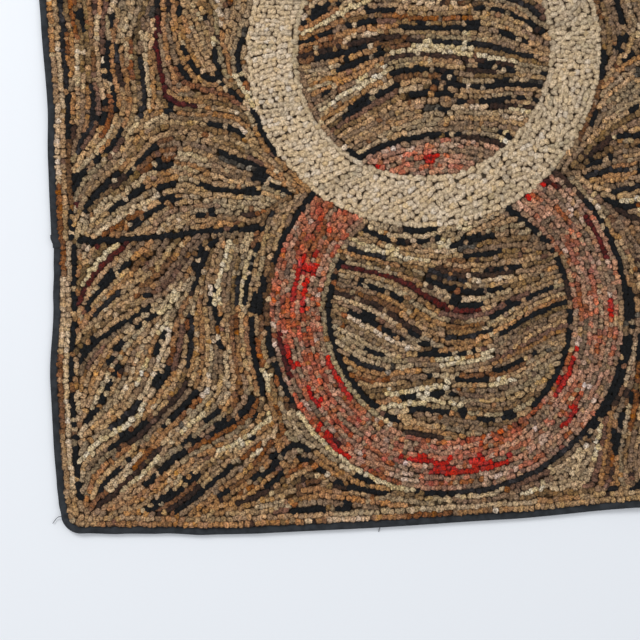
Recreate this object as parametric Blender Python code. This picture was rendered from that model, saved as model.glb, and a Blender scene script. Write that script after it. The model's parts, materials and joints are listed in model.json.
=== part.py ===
"""A hooked rug that lies flat on a floor: rag loops on burlap, with a cotton tape folded round the edge.

The rug is modelled in metres, +Z up. Its origin is the centre of its footprint, on the floor. +X runs along
the long side and +Y along the short side. The pile of loops is one slab as high as the loops are.
"""

import math
from collections import namedtuple

import bmesh
import bpy

MM = 0.001
WELD_DISTANCE = 0.001 * MM
SHARP_ANGLE = math.radians(50)

# The rug's plan.
RUG_WIDTH = 858 * MM
RUG_LENGTH = 747 * MM
CORNER_RADIUS = 22 * MM
OUTLINE_FADE = 150 * MM
GRID_PITCH = 29 * MM
CORNER_STEPS = 10

# The rug's section: a bare burlap hem inside the folded tape, and the thicker pile next to it.
GAP = 0.4 * MM
TAPE_THICK = 0.8 * MM
TAPE_FACE = 8.4 * MM
TAPE_UNDER = 14.0 * MM
TAPE_BEND = 0.9 * MM
TAPE_CREASE = 0.4 * MM
HEM_THICK = 2.2 * MM
HEM_BEVEL = 0.9 * MM
HEM_ROUND = 0.6 * MM
PILE_TOP = 7.8 * MM
PILE_WALL_TOP = 5.6 * MM
PILE_SHOULDER = 7.0 * MM
WALL_LEAN = 0.15 * MM
SHOULDER_INSET = 1.8 * MM
CROWN_INSET = 5.1 * MM
FLOOR_RAMP_START = 15.2 * MM
FLOOR_RAMP = 3.4 * MM

HEM_EDGE = TAPE_THICK + GAP
HEM_UNDERSIDE = TAPE_THICK + GAP
HEM_TOP = HEM_UNDERSIDE + HEM_THICK
FACE_UNDERSIDE = HEM_TOP + GAP
FACE_TOP = FACE_UNDERSIDE + TAPE_THICK
PILE_FOOT = TAPE_FACE + GAP

# The two ends of the tape meet on the left edge, where the outline steps in below the join.
TAPE_JOIN = -42 * MM
JOIN_GAP = 0.5 * MM
JOIN_STEP = 4 * MM

# How far each edge strays outwards from a straight line, in mm, at places along it measured from its middle.
Stray = namedtuple("Stray", "along out")
LEFT_EDGE = (
    Stray(-352, 0.4),
    Stray(-338, 2.4),
    Stray(-316, 3.5),
    Stray(-270, 4.7),
    Stray(-196, 4.8),
    Stray(-106, -3.1),
    Stray(-73, -5.4),
    Stray(-46, -6.8),
    Stray(-38, -4.6),
    Stray(4, -4.8),
    Stray(48, -5.4),
    Stray(106, -8.1),
    Stray(200, -5.5),
    Stray(290, -1.5),
    Stray(352, 0.0),
)
RIGHT_EDGE = (
    Stray(-352, 0.0),
    Stray(-230, 2.5),
    Stray(-90, -2.0),
    Stray(60, 3.0),
    Stray(200, -3.5),
    Stray(352, 0.0),
)
BOTTOM_EDGE = (
    Stray(-407, -9.4),
    Stray(-364, -6.6),
    Stray(-318, -4.6),
    Stray(-270, -0.6),
    Stray(-212, 0.8),
    Stray(-92, 1.2),
    Stray(55, -0.5),
    Stray(206, -5.9),
    Stray(320, -3.5),
    Stray(407, 0.0),
)
TOP_EDGE = (
    Stray(-407, 0.0),
    Stray(-260, -3.0),
    Stray(-90, 2.5),
    Stray(80, -1.5),
    Stray(250, 3.0),
    Stray(407, 0.0),
)

# Low swells of the worn pile: height in mm, wavelengths across and along in mm, and phase in radians.
Swell = namedtuple("Swell", "height across along phase")
PILE_SWELLS = (
    Swell(0.30, 310, 0, 0.4),
    Swell(0.26, 0, 270, 1.9),
    Swell(0.18, 190, 230, 3.1),
    Swell(0.14, -150, 170, 5.0),
)

# Places where the edge has curled a little off the floor: centre, height and reach in mm.
Curl = namedtuple("Curl", "x y height reach")
EDGE_CURLS = (
    Curl(-429, -374, 1.6, 46),
    Curl(215, -374, 2.2, 80),
    Curl(-429, 120, 1.2, 70),
    Curl(429, 374, 2.4, 60),
    Curl(429, -80, 1.4, 75),
    Curl(-120, 374, 1.8, 85),
)


def smooth_step(share):
    """A rise from 0 to 1 that is level at both ends."""
    share = min(1.0, max(0.0, share))
    return share * share * (3.0 - 2.0 * share)


def stray_at(edge, along):
    """How far an edge strays outwards at a place along it, in metres."""
    place = along / MM
    if place <= edge[0].along:
        return edge[0].out * MM
    for before, after in zip(edge, edge[1:]):
        if place <= after.along:
            share = smooth_step((place - before.along) / (after.along - before.along))
            return (before.out + (after.out - before.out) * share) * MM
    return edge[-1].out * MM


def round_corner(x, y):
    """Moves a point of the square-cornered plan onto the one with round corners. Its inset stays the same."""
    past_x = (abs(x) - RUG_WIDTH / 2) / CORNER_RADIUS + 1
    past_y = (abs(y) - RUG_LENGTH / 2) / CORNER_RADIUS + 1
    if past_x <= 0 or past_y <= 0:
        return x, y
    scale = max(past_x, past_y) / math.hypot(past_x, past_y) * CORNER_RADIUS
    corner_x = RUG_WIDTH / 2 - CORNER_RADIUS
    corner_y = RUG_LENGTH / 2 - CORNER_RADIUS
    return (
        math.copysign(corner_x + past_x * scale, x),
        math.copysign(corner_y + past_y * scale, y),
    )


def stray_outline(x, y):
    """Moves a point of the even plan onto the uneven one. The strays fade out towards the rug's middle."""

    def held(distance):
        return 1.0 - smooth_step(distance / OUTLINE_FADE)

    left = stray_at(LEFT_EDGE, y) * held(RUG_WIDTH / 2 + x)
    right = stray_at(RIGHT_EDGE, y) * held(RUG_WIDTH / 2 - x)
    bottom = stray_at(BOTTOM_EDGE, x) * held(RUG_LENGTH / 2 + y)
    top = stray_at(TOP_EDGE, x) * held(RUG_LENGTH / 2 - y)
    return x - left + right, y - bottom + top


def curl_at(x, y):
    """How far the rug is lifted off the floor at a place in its plan."""
    lift = 0.0
    for curl in EDGE_CURLS:
        away = math.hypot(x / MM - curl.x, y / MM - curl.y) / curl.reach
        lift += curl.height * MM * (1.0 - smooth_step(away))
    return lift


def swell_at(x, y):
    """How far the pile's top stands above or below its usual height at a place in the plan."""
    height = 0.0
    for swell in PILE_SWELLS:
        turn = swell.phase
        if swell.across:
            turn += 2 * math.pi * x / (swell.across * MM)
        if swell.along:
            turn += 2 * math.pi * y / (swell.along * MM)
        height += swell.height * MM * math.sin(turn)
    return height


# The field's section inwards from its edge: each grid line's inset, and the heights of its top and underside.
Line = namedtuple("Line", "inset top under")
FIELD_LINES = (
    Line(HEM_EDGE, HEM_TOP - HEM_ROUND, HEM_UNDERSIDE + HEM_ROUND / 2),
    Line(HEM_EDGE + HEM_BEVEL, HEM_TOP, HEM_UNDERSIDE),
    Line(PILE_FOOT, HEM_TOP, HEM_UNDERSIDE),
    Line(PILE_FOOT + WALL_LEAN, PILE_WALL_TOP, HEM_UNDERSIDE),
    Line(PILE_FOOT + SHOULDER_INSET, PILE_SHOULDER, HEM_UNDERSIDE),
    Line(PILE_FOOT + CROWN_INSET, PILE_TOP, HEM_UNDERSIDE),
    Line(FLOOR_RAMP_START, PILE_TOP, HEM_UNDERSIDE),
    Line(FLOOR_RAMP_START + FLOOR_RAMP, PILE_TOP, HEM_UNDERSIDE / 2),
    Line(CORNER_RADIUS, PILE_TOP, 0.0),
)


def line_at(inset):
    """The line of the field's section at an inset that is on one of its grid lines, or further in."""
    for line in FIELD_LINES:
        if inset <= line.inset + WELD_DISTANCE:
            return line
    return FIELD_LINES[-1]


def middle_lines(span, extra=()):
    """The even grid lines between the two corner zones of a side, with any extra ones that it needs."""
    reach = span / 2 - CORNER_RADIUS
    count = round(2 * reach / GRID_PITCH)
    lines = [-reach + 2 * reach * k / count for k in range(1, count)]
    clear = [line for line in lines if all(abs(line - other) > JOIN_STEP for other in extra)]
    return sorted(clear + list(extra))


ACROSS_LINES = middle_lines(RUG_WIDTH)
ALONG_LINES = middle_lines(
    RUG_LENGTH,
    (TAPE_JOIN - JOIN_STEP, TAPE_JOIN - JOIN_GAP / 2, TAPE_JOIN + JOIN_GAP / 2, TAPE_JOIN + JOIN_STEP),
)


def all_lines(span, middle):
    """Every grid line across one direction of the field, from one hem edge to the other."""
    return (
        [line.inset - span / 2 for line in FIELD_LINES]
        + middle
        + [span / 2 - line.inset for line in reversed(FIELD_LINES)]
    )


def outline_stations():
    """The places round the edge where the tape is set, from join to join: each a point and the way inwards."""
    half_x, half_y, radius = RUG_WIDTH / 2, RUG_LENGTH / 2, CORNER_RADIUS
    reach_x, reach_y = half_x - radius, half_y - radius

    def corner(sign_x, sign_y, start):
        """The stations round one corner, clockwise from the given angle."""
        for step in range(CORNER_STEPS + 1):
            angle = start - math.pi / 2 * step / CORNER_STEPS
            out_x, out_y = math.cos(angle), math.sin(angle)
            yield (
                sign_x * reach_x + radius * out_x,
                sign_y * reach_y + radius * out_y,
                -out_x,
                -out_y,
            )

    stations = [(-half_x, y, 1, 0) for y in ALONG_LINES if y > TAPE_JOIN]
    stations += corner(-1, 1, math.pi)
    stations += [(x, half_y, 0, -1) for x in ACROSS_LINES]
    stations += corner(1, 1, math.pi / 2)
    stations += [(half_x, y, -1, 0) for y in reversed(ALONG_LINES)]
    stations += corner(1, -1, 0.0)
    stations += [(x, -half_y, 0, 1) for x in reversed(ACROSS_LINES)]
    stations += corner(-1, -1, -math.pi / 2)
    stations += [(-half_x, y, 1, 0) for y in ALONG_LINES if y < TAPE_JOIN]
    return stations


STATIONS = outline_stations()


def footprint_centre():
    """The centre of the box round the uneven outline, which becomes the rug's origin."""
    edge = [stray_outline(x, y) for x, y, _, _ in STATIONS]
    across = [x for x, _ in edge]
    along = [y for _, y in edge]
    return (min(across) + max(across)) / 2, (min(along) + max(along)) / 2


CENTRE_X, CENTRE_Y = footprint_centre()


def set_down(x, y, z):
    """A point of the even, flat rug put where it lies on the real one."""
    lift = curl_at(x, y)
    x, y = stray_outline(x, y)
    return x - CENTRE_X, y - CENTRE_Y, z + lift


def cloth_material(name, colour, roughness):
    """A plain cloth finish."""
    material = bpy.data.materials.new(name)
    material.use_nodes = True
    shader = material.node_tree.nodes["Principled BSDF"]
    shader.inputs["Base Color"].default_value = (*colour, 1.0)
    shader.inputs["Roughness"].default_value = roughness
    shader.inputs["Metallic"].default_value = 0.0
    material.diffuse_color = (*colour, 1.0)
    return material


def finished(name, bm, collection, material):
    """Turns the worked mesh into a named object with its material, in the rug's collection."""
    bmesh.ops.recalc_face_normals(bm, faces=bm.faces)
    mesh = bpy.data.meshes.new(name)
    bm.to_mesh(mesh)
    bm.free()
    mesh.materials.append(material)
    mesh.shade_smooth()
    mesh.set_sharp_from_angle(angle=SHARP_ANGLE)
    piece = bpy.data.objects.new(name, mesh)
    collection.objects.link(piece)
    return piece


def sorted_by_place(verts):
    """The vertices of a level grid in the order of their places, so that two copies of it can be matched."""
    return sorted(verts, key=lambda v: (round(v.co.x, 6), round(v.co.y, 6)))


def make_field(collection, material):
    """The hooked field: burlap with its bare hem, thickened by the loops, as one flat cloth."""
    across = all_lines(RUG_WIDTH, ACROSS_LINES)
    along = all_lines(RUG_LENGTH, ALONG_LINES)
    bm = bmesh.new()
    bmesh.ops.create_grid(
        bm, x_segments=len(across) - 1, y_segments=len(along) - 1, size=1.0
    )
    top = {}
    for vertex in bm.verts:
        column = round((vertex.co.x + 1) / 2 * (len(across) - 1))
        row = round((vertex.co.y + 1) / 2 * (len(along) - 1))
        top[vertex] = (across[column], along[row])
    grown = bmesh.ops.extrude_face_region(bm, geom=bm.faces[:], use_keep_orig=True)
    new_verts = [item for item in grown["geom"] if isinstance(item, bmesh.types.BMVert)]
    under = {new: top[old] for old, new in zip(sorted_by_place(top), sorted_by_place(new_verts))}
    for plan, is_top in ((top, True), (under, False)):
        for vertex, (x, y) in plan.items():
            inset = min(RUG_WIDTH / 2 - abs(x), RUG_LENGTH / 2 - abs(y))
            line = line_at(inset)
            x, y = round_corner(x, y)
            z = line.top if is_top else line.under
            if is_top and line.top == PILE_TOP:
                z += swell_at(x, y)
            vertex.co = set_down(x, y, z)
    return finished("hooked_field", bm, collection, material)


# The tape's section, from the free edge of its under fold round to where it closes, as (inset, height).
TAPE_SECTION = (
    (TAPE_UNDER, 0.0),
    (TAPE_BEND, 0.0),
    (0.0, TAPE_BEND),
    (0.0, FACE_TOP - TAPE_BEND),
    (TAPE_BEND, FACE_TOP),
    (TAPE_FACE, FACE_TOP),
    (TAPE_FACE, FACE_UNDERSIDE),
    (TAPE_THICK + TAPE_CREASE, FACE_UNDERSIDE),
    (TAPE_THICK, FACE_UNDERSIDE - TAPE_CREASE),
    (TAPE_THICK, TAPE_THICK + TAPE_CREASE),
    (TAPE_THICK + TAPE_CREASE, TAPE_THICK),
    (TAPE_UNDER, TAPE_THICK),
)


def make_tape(collection, material):
    """The cotton binding tape: one length folded over the hem, run round the rug until its ends meet."""
    rounds, points = len(STATIONS), len(TAPE_SECTION)
    bm = bmesh.new()
    bmesh.ops.create_grid(bm, x_segments=rounds - 1, y_segments=points, size=1.0)
    for vertex in bm.verts:
        station = round((vertex.co.x + 1) / 2 * (rounds - 1))
        point = round((vertex.co.y + 1) / 2 * points) % points
        x, y, inward_x, inward_y = STATIONS[station]
        inset, height = TAPE_SECTION[point]
        vertex.co = set_down(x + inward_x * inset, y + inward_y * inset, height)
    bmesh.ops.remove_doubles(bm, verts=bm.verts, dist=WELD_DISTANCE)
    bmesh.ops.holes_fill(bm, edges=[edge for edge in bm.edges if edge.is_boundary], sides=points)
    return finished("binding_tape", bm, collection, material)


def main():
    """Builds the rug in an empty scene."""
    for old in list(bpy.data.objects):
        bpy.data.objects.remove(old)
    collection = bpy.data.collections.new("hooked_rug")
    bpy.context.scene.collection.children.link(collection)
    make_field(collection, cloth_material("rag_loops", (0.26, 0.17, 0.10), 0.95))
    make_tape(collection, cloth_material("binding_cotton", (0.020, 0.023, 0.027), 0.80))


main()
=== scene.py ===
"""A hooked rug lying flat on a pale floor: rag loops on burlap, bound with a folded cotton tape."""

import colorsys
import json
import logging
import math
import random
from collections import defaultdict, deque
from dataclasses import dataclass, field
from enum import Enum
from typing import Callable, Iterator, Optional, Sequence

import bmesh
import bpy
from mathutils import Euler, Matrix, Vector
from mathutils.kdtree import KDTree

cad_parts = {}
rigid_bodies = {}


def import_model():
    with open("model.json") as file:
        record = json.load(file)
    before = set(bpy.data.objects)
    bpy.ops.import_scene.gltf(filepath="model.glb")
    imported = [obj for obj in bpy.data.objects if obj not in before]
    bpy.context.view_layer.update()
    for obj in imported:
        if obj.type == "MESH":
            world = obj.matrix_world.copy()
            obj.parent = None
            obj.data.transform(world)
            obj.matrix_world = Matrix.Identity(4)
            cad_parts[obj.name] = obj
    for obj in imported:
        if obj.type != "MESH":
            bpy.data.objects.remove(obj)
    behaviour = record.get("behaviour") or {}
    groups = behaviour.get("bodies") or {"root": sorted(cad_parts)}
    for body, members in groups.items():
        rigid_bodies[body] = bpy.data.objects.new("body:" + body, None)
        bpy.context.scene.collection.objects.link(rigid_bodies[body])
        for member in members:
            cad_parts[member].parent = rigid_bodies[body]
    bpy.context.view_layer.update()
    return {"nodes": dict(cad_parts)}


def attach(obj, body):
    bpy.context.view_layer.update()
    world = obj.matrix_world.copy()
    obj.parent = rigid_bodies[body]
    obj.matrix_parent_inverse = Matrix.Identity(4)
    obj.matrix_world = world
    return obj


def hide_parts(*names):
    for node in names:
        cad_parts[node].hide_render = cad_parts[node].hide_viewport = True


MM = 0.001
BLOCK_SEED = 1907

log = logging.getLogger("hooked_rug")


def smooth_step(share: float) -> float:
    """A rise from 0 to 1 that is level at both ends."""
    share = min(1.0, max(0.0, share))
    return share * share * (3.0 - 2.0 * share)


def drift(x: float, y: float, wave: float, phase: float) -> float:
    """A slow, even wander over the plan.

    Args:
        x, y: The place, in mm.
        wave: The usual distance between two crests, in mm.
        phase: Picks one wander out of many.

    Returns:
        A value from about -1 to 1.
    """
    k = 2 * math.pi / wave
    return (
        math.sin(k * (0.93 * x + 0.37 * y) + phase)
        + math.sin(k * (-0.52 * x + 0.81 * y) * 1.31 + 2.1 * phase + 1.0)
        + math.sin(k * (0.21 * x - 1.02 * y) * 0.77 + 3.7 * phase + 2.0)
    ) / 2.4


def linear_colour(code: str) -> tuple[float, float, float]:
    """Turns a dyer's colour code into the light values that a shader takes.

    Args:
        code: The colour as six hexadecimal digits.

    Returns:
        Red, green and blue, linear.
    """
    parts = [int(code[k : k + 2], 16) / 255 for k in (0, 2, 4)]
    red, green, blue = (c / 12.92 if c <= 0.04045 else ((c + 0.055) / 1.055) ** 2.4 for c in parts)
    return red, green, blue


# ---------------------------------------------------------------- the rug's plan


@dataclass(frozen=True)
class Stray:
    """How far an edge strays outwards from a straight line, at a place along it, in mm."""

    along: float
    out: float


@dataclass(frozen=True)
class Curl:
    """A place where the edge has curled a little off the floor, in mm."""

    x: float
    y: float
    height: float
    reach: float


@dataclass(frozen=True)
class Swell:
    """A low swell of the worn pile: height and wavelengths in mm, phase in radians."""

    height: float
    across: float
    along: float
    phase: float


def strays(*pairs: tuple[float, float]) -> tuple[Stray, ...]:
    """The strays of one edge, from pairs of place and distance."""
    return tuple(Stray(along, out) for along, out in pairs)


@dataclass(frozen=True)
class RugPlan:
    """The rug's even plan, in mm from its middle, and how the real rug lies off it."""

    width: float = 858.0
    length: float = 747.0
    corner: float = 22.0
    fade: float = 150.0
    tape_join: float = -42.0
    hem_edge: float = 1.2
    hem_under: float = 1.2
    hem_top: float = 3.4
    pile_foot: float = 8.8
    pile_top: float = 7.8
    left: tuple[Stray, ...] = strays(
        (-352, 0.4), (-338, 2.4), (-316, 3.5), (-270, 4.7), (-196, 4.8), (-106, -3.1), (-73, -5.4),
        (-46, -6.8), (-38, -4.6), (4, -4.8), (48, -5.4), (106, -8.1), (200, -5.5), (290, -1.5), (352, 0.0),
    )
    right: tuple[Stray, ...] = strays(
        (-352, 0.0), (-230, 2.5), (-90, -2.0), (60, 3.0), (200, -3.5), (352, 0.0)
    )
    bottom: tuple[Stray, ...] = strays(
        (-407, -9.4), (-364, -6.6), (-318, -4.6), (-270, -0.6), (-212, 0.8), (-92, 1.2), (55, -0.5),
        (206, -5.9), (320, -3.5), (407, 0.0),
    )
    top: tuple[Stray, ...] = strays(
        (-407, 0.0), (-260, -3.0), (-90, 2.5), (80, -1.5), (250, 3.0), (407, 0.0)
    )
    swells: tuple[Swell, ...] = (
        Swell(0.30, 310, 0, 0.4),
        Swell(0.26, 0, 270, 1.9),
        Swell(0.18, 190, 230, 3.1),
        Swell(0.14, -150, 170, 5.0),
    )
    curls: tuple[Curl, ...] = (
        Curl(-429, -374, 1.6, 46),
        Curl(215, -374, 2.2, 80),
        Curl(-429, 120, 1.2, 70),
        Curl(429, 374, 2.4, 60),
        Curl(429, -80, 1.4, 75),
        Curl(-120, 374, 1.8, 85),
    )

    def stray_at(self, edge: Sequence[Stray], along: float) -> float:
        """How far an edge strays outwards.

        Args:
            edge: The edge's table.
            along: The place along it, in mm.

        Returns:
            The distance outwards, in mm.
        """
        if along <= edge[0].along:
            return edge[0].out
        for before, after in zip(edge, edge[1:]):
            if along <= after.along:
                share = smooth_step((along - before.along) / (after.along - before.along))
                return before.out + (after.out - before.out) * share
        return edge[-1].out

    def inset_at(self, x: float, y: float) -> float:
        """How far a place of the even plan lies inside the outline.

        Args:
            x, y: The place, in mm.

        Returns:
            The distance to the nearest edge, round the corners too.
        """
        past_x = abs(x) - self.width / 2 + self.corner
        past_y = abs(y) - self.length / 2 + self.corner
        if past_x <= 0 or past_y <= 0:
            return self.corner - max(past_x, past_y)
        return self.corner - math.hypot(past_x, past_y)

    def round_corner(self, x: float, y: float) -> tuple[float, float]:
        """Moves a point of the square-cornered plan onto the one with round corners, at the same inset.

        Args:
            x, y: The point, in mm.

        Returns:
            The moved point.
        """
        past_x = (abs(x) - self.width / 2) / self.corner + 1
        past_y = (abs(y) - self.length / 2) / self.corner + 1
        if past_x <= 0 or past_y <= 0:
            return x, y
        scale = max(past_x, past_y) / math.hypot(past_x, past_y) * self.corner
        return (
            math.copysign(self.width / 2 - self.corner + past_x * scale, x),
            math.copysign(self.length / 2 - self.corner + past_y * scale, y),
        )

    def stray_outline(self, x: float, y: float) -> tuple[float, float]:
        """Moves a point of the even plan onto the uneven one. The strays fade out towards the middle.

        Args:
            x, y: The point, in mm.

        Returns:
            The moved point.
        """
        half_x, half_y = self.width / 2, self.length / 2
        left = self.stray_at(self.left, y) * (1 - smooth_step((half_x + x) / self.fade))
        right = self.stray_at(self.right, y) * (1 - smooth_step((half_x - x) / self.fade))
        bottom = self.stray_at(self.bottom, x) * (1 - smooth_step((half_y + y) / self.fade))
        top = self.stray_at(self.top, x) * (1 - smooth_step((half_y - y) / self.fade))
        return x - left + right, y - bottom + top

    def outline(self, inset: float, pitch: float) -> list[tuple[float, float, float, float]]:
        """Places round the outline, clockwise from the tape's join on the left edge.

        Args:
            inset: How far inside the edge they lie, in mm.
            pitch: About how far apart they are, in mm.

        Returns:
            Each place and the way inwards from it. The last one is back at the join.
        """
        half_x, half_y, radius = self.width / 2, self.length / 2, self.corner
        reach_x, reach_y = half_x - radius, half_y - radius
        places: list[tuple[float, float, float, float]] = []

        def side(start: tuple[float, float], stop: tuple[float, float], inward: tuple[float, float]) -> None:
            """Adds the places of one straight side.

            Args:
                start, stop: Its two ends on the edge, in mm.
                inward: The way inwards.
            """
            count = max(1, round(math.dist(start, stop) / pitch))
            for k in range(count):
                share = k / count
                x = start[0] + (stop[0] - start[0]) * share
                y = start[1] + (stop[1] - start[1]) * share
                places.append((x + inward[0] * inset, y + inward[1] * inset, *inward))

        def corner(sign_x: int, sign_y: int, start: float) -> None:
            """Adds the places of one round corner.

            Args:
                sign_x, sign_y: Which corner.
                start: The angle that it starts at, in radians.
            """
            count = max(4, round(radius * math.pi / 2 / pitch))
            for k in range(count):
                angle = start - math.pi / 2 * k / count
                out_x, out_y = math.cos(angle), math.sin(angle)
                places.append(
                    (
                        sign_x * reach_x + (radius - inset) * out_x,
                        sign_y * reach_y + (radius - inset) * out_y,
                        -out_x,
                        -out_y,
                    )
                )

        side((-half_x, self.tape_join), (-half_x, reach_y), (1, 0))
        corner(-1, 1, math.pi)
        side((-reach_x, half_y), (reach_x, half_y), (0, -1))
        corner(1, 1, math.pi / 2)
        side((half_x, reach_y), (half_x, -reach_y), (-1, 0))
        corner(1, -1, 0.0)
        side((reach_x, -half_y), (-reach_x, -half_y), (0, 1))
        corner(-1, -1, -math.pi / 2)
        side((-half_x, -reach_y), (-half_x, self.tape_join), (1, 0))
        places.append((-half_x + inset, self.tape_join, 1, 0))
        return places

    def centre(self) -> tuple[float, float]:
        """The middle of the box round the uneven outline, which is the rug's origin.

        Returns:
            Its place in the even plan's mm.
        """
        edge = [self.stray_outline(x, y) for x, y, _, _ in self.outline(0.0, 2.0)]
        across, along = [x for x, _ in edge], [y for _, y in edge]
        return (min(across) + max(across)) / 2, (min(along) + max(along)) / 2

    def lift_at(self, x: float, y: float) -> float:
        """How far the rug is curled off the floor at a place, in mm."""
        away = ((c.height, math.hypot(x - c.x, y - c.y) / c.reach) for c in self.curls)
        return sum(height * (1 - smooth_step(reach)) for height, reach in away)

    def top_at(self, x: float, y: float) -> float:
        """How high the pile's top stands, with its swells and its shoulder at the edge.

        Args:
            x, y: The place, in mm.

        Returns:
            The height over the even underside, in mm.
        """
        height = self.pile_top
        for swell in self.swells:
            turn = swell.phase
            turn += 2 * math.pi * x / swell.across if swell.across else 0.0
            turn += 2 * math.pi * y / swell.along if swell.along else 0.0
            height += swell.height * math.sin(turn)
        return height - 0.9 * (1 - smooth_step((self.inset_at(x, y) - 10.0) / 6.0))

    def under_at(self, inset: float) -> float:
        """The height of the rug's underside, which rises over the tape's fold at the edge."""
        return self.hem_under * (1 - min(1.0, max(0.0, (inset - 15.2) / 6.8)))


class SetDown:
    """Puts points of the even plan where they lie on the real rug, in metres."""

    def __init__(self, plan: RugPlan) -> None:
        """Keeps the plan and its centre."""
        self.plan = plan
        self.centre = plan.centre()

    def __call__(self, x: float, y: float, z: float) -> tuple[float, float, float]:
        """Sets one point down.

        Args:
            x, y: The point in the even plan, in mm.
            z: Its height over the even underside, in mm.

        Returns:
            The point in the rug's frame, in metres.
        """
        lift = self.plan.lift_at(x, y)
        x, y = self.plan.stray_outline(x, y)
        return (x - self.centre[0]) * MM, (y - self.centre[1]) * MM, (z + lift) * MM


# ---------------------------------------------------------------- the wools


class Wool(Enum):
    """The dyed rags: a colour code and how much one loop differs from the next."""

    TAN = ("B69269", 0.15)
    CAMEL = ("AF8052", 0.14)
    BEIGE = ("D2B38B", 0.13)
    OATMEAL = ("C4A984", 0.12)
    GREIGE = ("A68D6C", 0.14)
    TAUPE = ("93765A", 0.15)
    OLIVE = ("846642", 0.16)
    BROWN = ("7D5534", 0.16)
    CHESTNUT = ("3C281D", 0.24)
    PLUM = ("7B5845", 0.16)
    RUST = ("8A5327", 0.18)
    CREAM = ("E2CBA2", 0.08)
    PEPPER = ("524A40", 0.60)
    TWEED = ("221F20", 0.50)
    BLACK = ("0A0B0E", 0.34)
    OXBLOOD = ("561812", 0.22)
    SCARLET = ("C81D05", 0.13)
    RING_IVORY = ("DAC19E", 0.07)
    RING_BONE = ("CFB897", 0.08)
    RING_STONE = ("BFAA8B", 0.10)
    DUSTY_PINK = ("B8876B", 0.20)
    SALMON = ("BC7153", 0.22)
    CORAL = ("B6583A", 0.24)
    TERRACOTTA = ("A45F38", 0.24)
    ROSE_TAUPE = ("9B7C62", 0.22)
    BLUSH = ("CFA98F", 0.14)

    @property
    def jitter(self) -> float:
        """How much one loop's brightness differs from the next."""
        return self.value[1]


@dataclass(frozen=True)
class Blend:
    """The shares of wools that one part of the rug is hooked from, and the usual run of a rag in loops."""

    shares: tuple[tuple[Wool, float], ...]
    shortest: int = 6
    longest: int = 26

    def pick(self, rng: random.Random, tone: Optional[float] = None) -> Wool:
        """Draws one wool.

        Args:
            rng: The seeded dice.
            tone: Where in the shares to look, from 0 for the first to 1 for the last, or anywhere.

        Returns:
            The wool.
        """
        if tone is None:
            return rng.choices([w for w, _ in self.shares], [s for _, s in self.shares])[0]
        left = min(0.999, max(0.0, tone)) * sum(s for _, s in self.shares)
        for wool, share in self.shares:
            left -= share
            if left < 0:
                return wool
        return self.shares[-1][0]

    def run(self, rng: random.Random) -> int:
        """How many loops one rag makes."""
        return rng.randint(self.shortest, self.longest)


@dataclass(frozen=True)
class Streaks:
    """How plain rows are streaked: the wools, the share of rows, and the loops between two streaks."""

    blend: Blend
    share: float
    least_apart: int = 1
    most_apart: int = 8

    def between(self, rng: random.Random) -> int:
        """How many loops lie before the next streak."""
        return rng.randint(self.least_apart, self.most_apart)


# Shares run from the dark wools to the light ones, so that rags of like tone lie together in patches.
WARM_GROUND = Blend(
    (
        (Wool.CHESTNUT, 6), (Wool.BROWN, 12), (Wool.RUST, 5), (Wool.OLIVE, 8), (Wool.PLUM, 3),
        (Wool.TAUPE, 8), (Wool.CAMEL, 20), (Wool.TAN, 22), (Wool.GREIGE, 6), (Wool.BEIGE, 20),
        (Wool.OATMEAL, 12),
    )
)
COOL_GROUND = Blend(
    (
        (Wool.CHESTNUT, 7), (Wool.BROWN, 14), (Wool.OLIVE, 17), (Wool.PLUM, 4), (Wool.RUST, 2),
        (Wool.TAUPE, 18), (Wool.CAMEL, 6), (Wool.TAN, 21), (Wool.GREIGE, 12), (Wool.BEIGE, 9),
        (Wool.OATMEAL, 7),
    )
)
GREY_GROUND = Blend(
    (
        (Wool.PEPPER, 10), (Wool.TAUPE, 20), (Wool.TAN, 16), (Wool.GREIGE, 32), (Wool.BEIGE, 12),
        (Wool.OATMEAL, 12),
    )
)
GROUND_STREAKS = Streaks(
    Blend(((Wool.BLACK, 70), (Wool.TWEED, 12), (Wool.CREAM, 10), (Wool.RUST, 6), (Wool.OXBLOOD, 2)), 5, 22),
    0.46,
)
HEART_STREAKS = Streaks(
    Blend(((Wool.BLACK, 78), (Wool.TWEED, 10), (Wool.CREAM, 11), (Wool.OXBLOOD, 1)), 6, 26), 0.60, most_apart=6
)
RED_BODY = Blend(
    (
        (Wool.TERRACOTTA, 14), (Wool.CORAL, 14), (Wool.SALMON, 22), (Wool.DUSTY_PINK, 20),
        (Wool.ROSE_TAUPE, 14), (Wool.BLUSH, 16),
    ),
    2,
    9,
)
ROSE_BODY = Blend(
    (
        (Wool.TERRACOTTA, 10), (Wool.SALMON, 20), (Wool.DUSTY_PINK, 26), (Wool.ROSE_TAUPE, 22),
        (Wool.TAN, 8), (Wool.BLUSH, 14),
    ),
    2,
    9,
)
RED_STREAKS = Streaks(Blend(((Wool.SCARLET, 94), (Wool.OXBLOOD, 6)), 3, 11), 0.9)
OUTLINE_ROW = Blend(((Wool.BLACK, 66), (Wool.TWEED, 10), (Wool.CHESTNUT, 10), (Wool.TAUPE, 14)), 5, 30)
BROKEN_OUTLINE = Blend(((Wool.BLACK, 50), (Wool.BROWN, 25), (Wool.TAUPE, 25)), 5, 18)
PALE_OUTLINE = Blend(((Wool.CREAM, 34), (Wool.BEIGE, 24), (Wool.BLACK, 30), (Wool.TAN, 12)), 6, 20)
FIRST_BORDER = Blend(
    ((Wool.TAN, 34), (Wool.CAMEL, 26), (Wool.RUST, 16), (Wool.BROWN, 14), (Wool.BEIGE, 10)), 5, 18
)
SECOND_BORDER = Blend(((Wool.BEIGE, 30), (Wool.TAN, 34), (Wool.CAMEL, 20), (Wool.GREIGE, 16)), 6, 22)
THIRD_BORDER = Blend(((Wool.BLACK, 76), (Wool.TWEED, 8), (Wool.TAN, 10), (Wool.BROWN, 6)), 6, 18)
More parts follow.
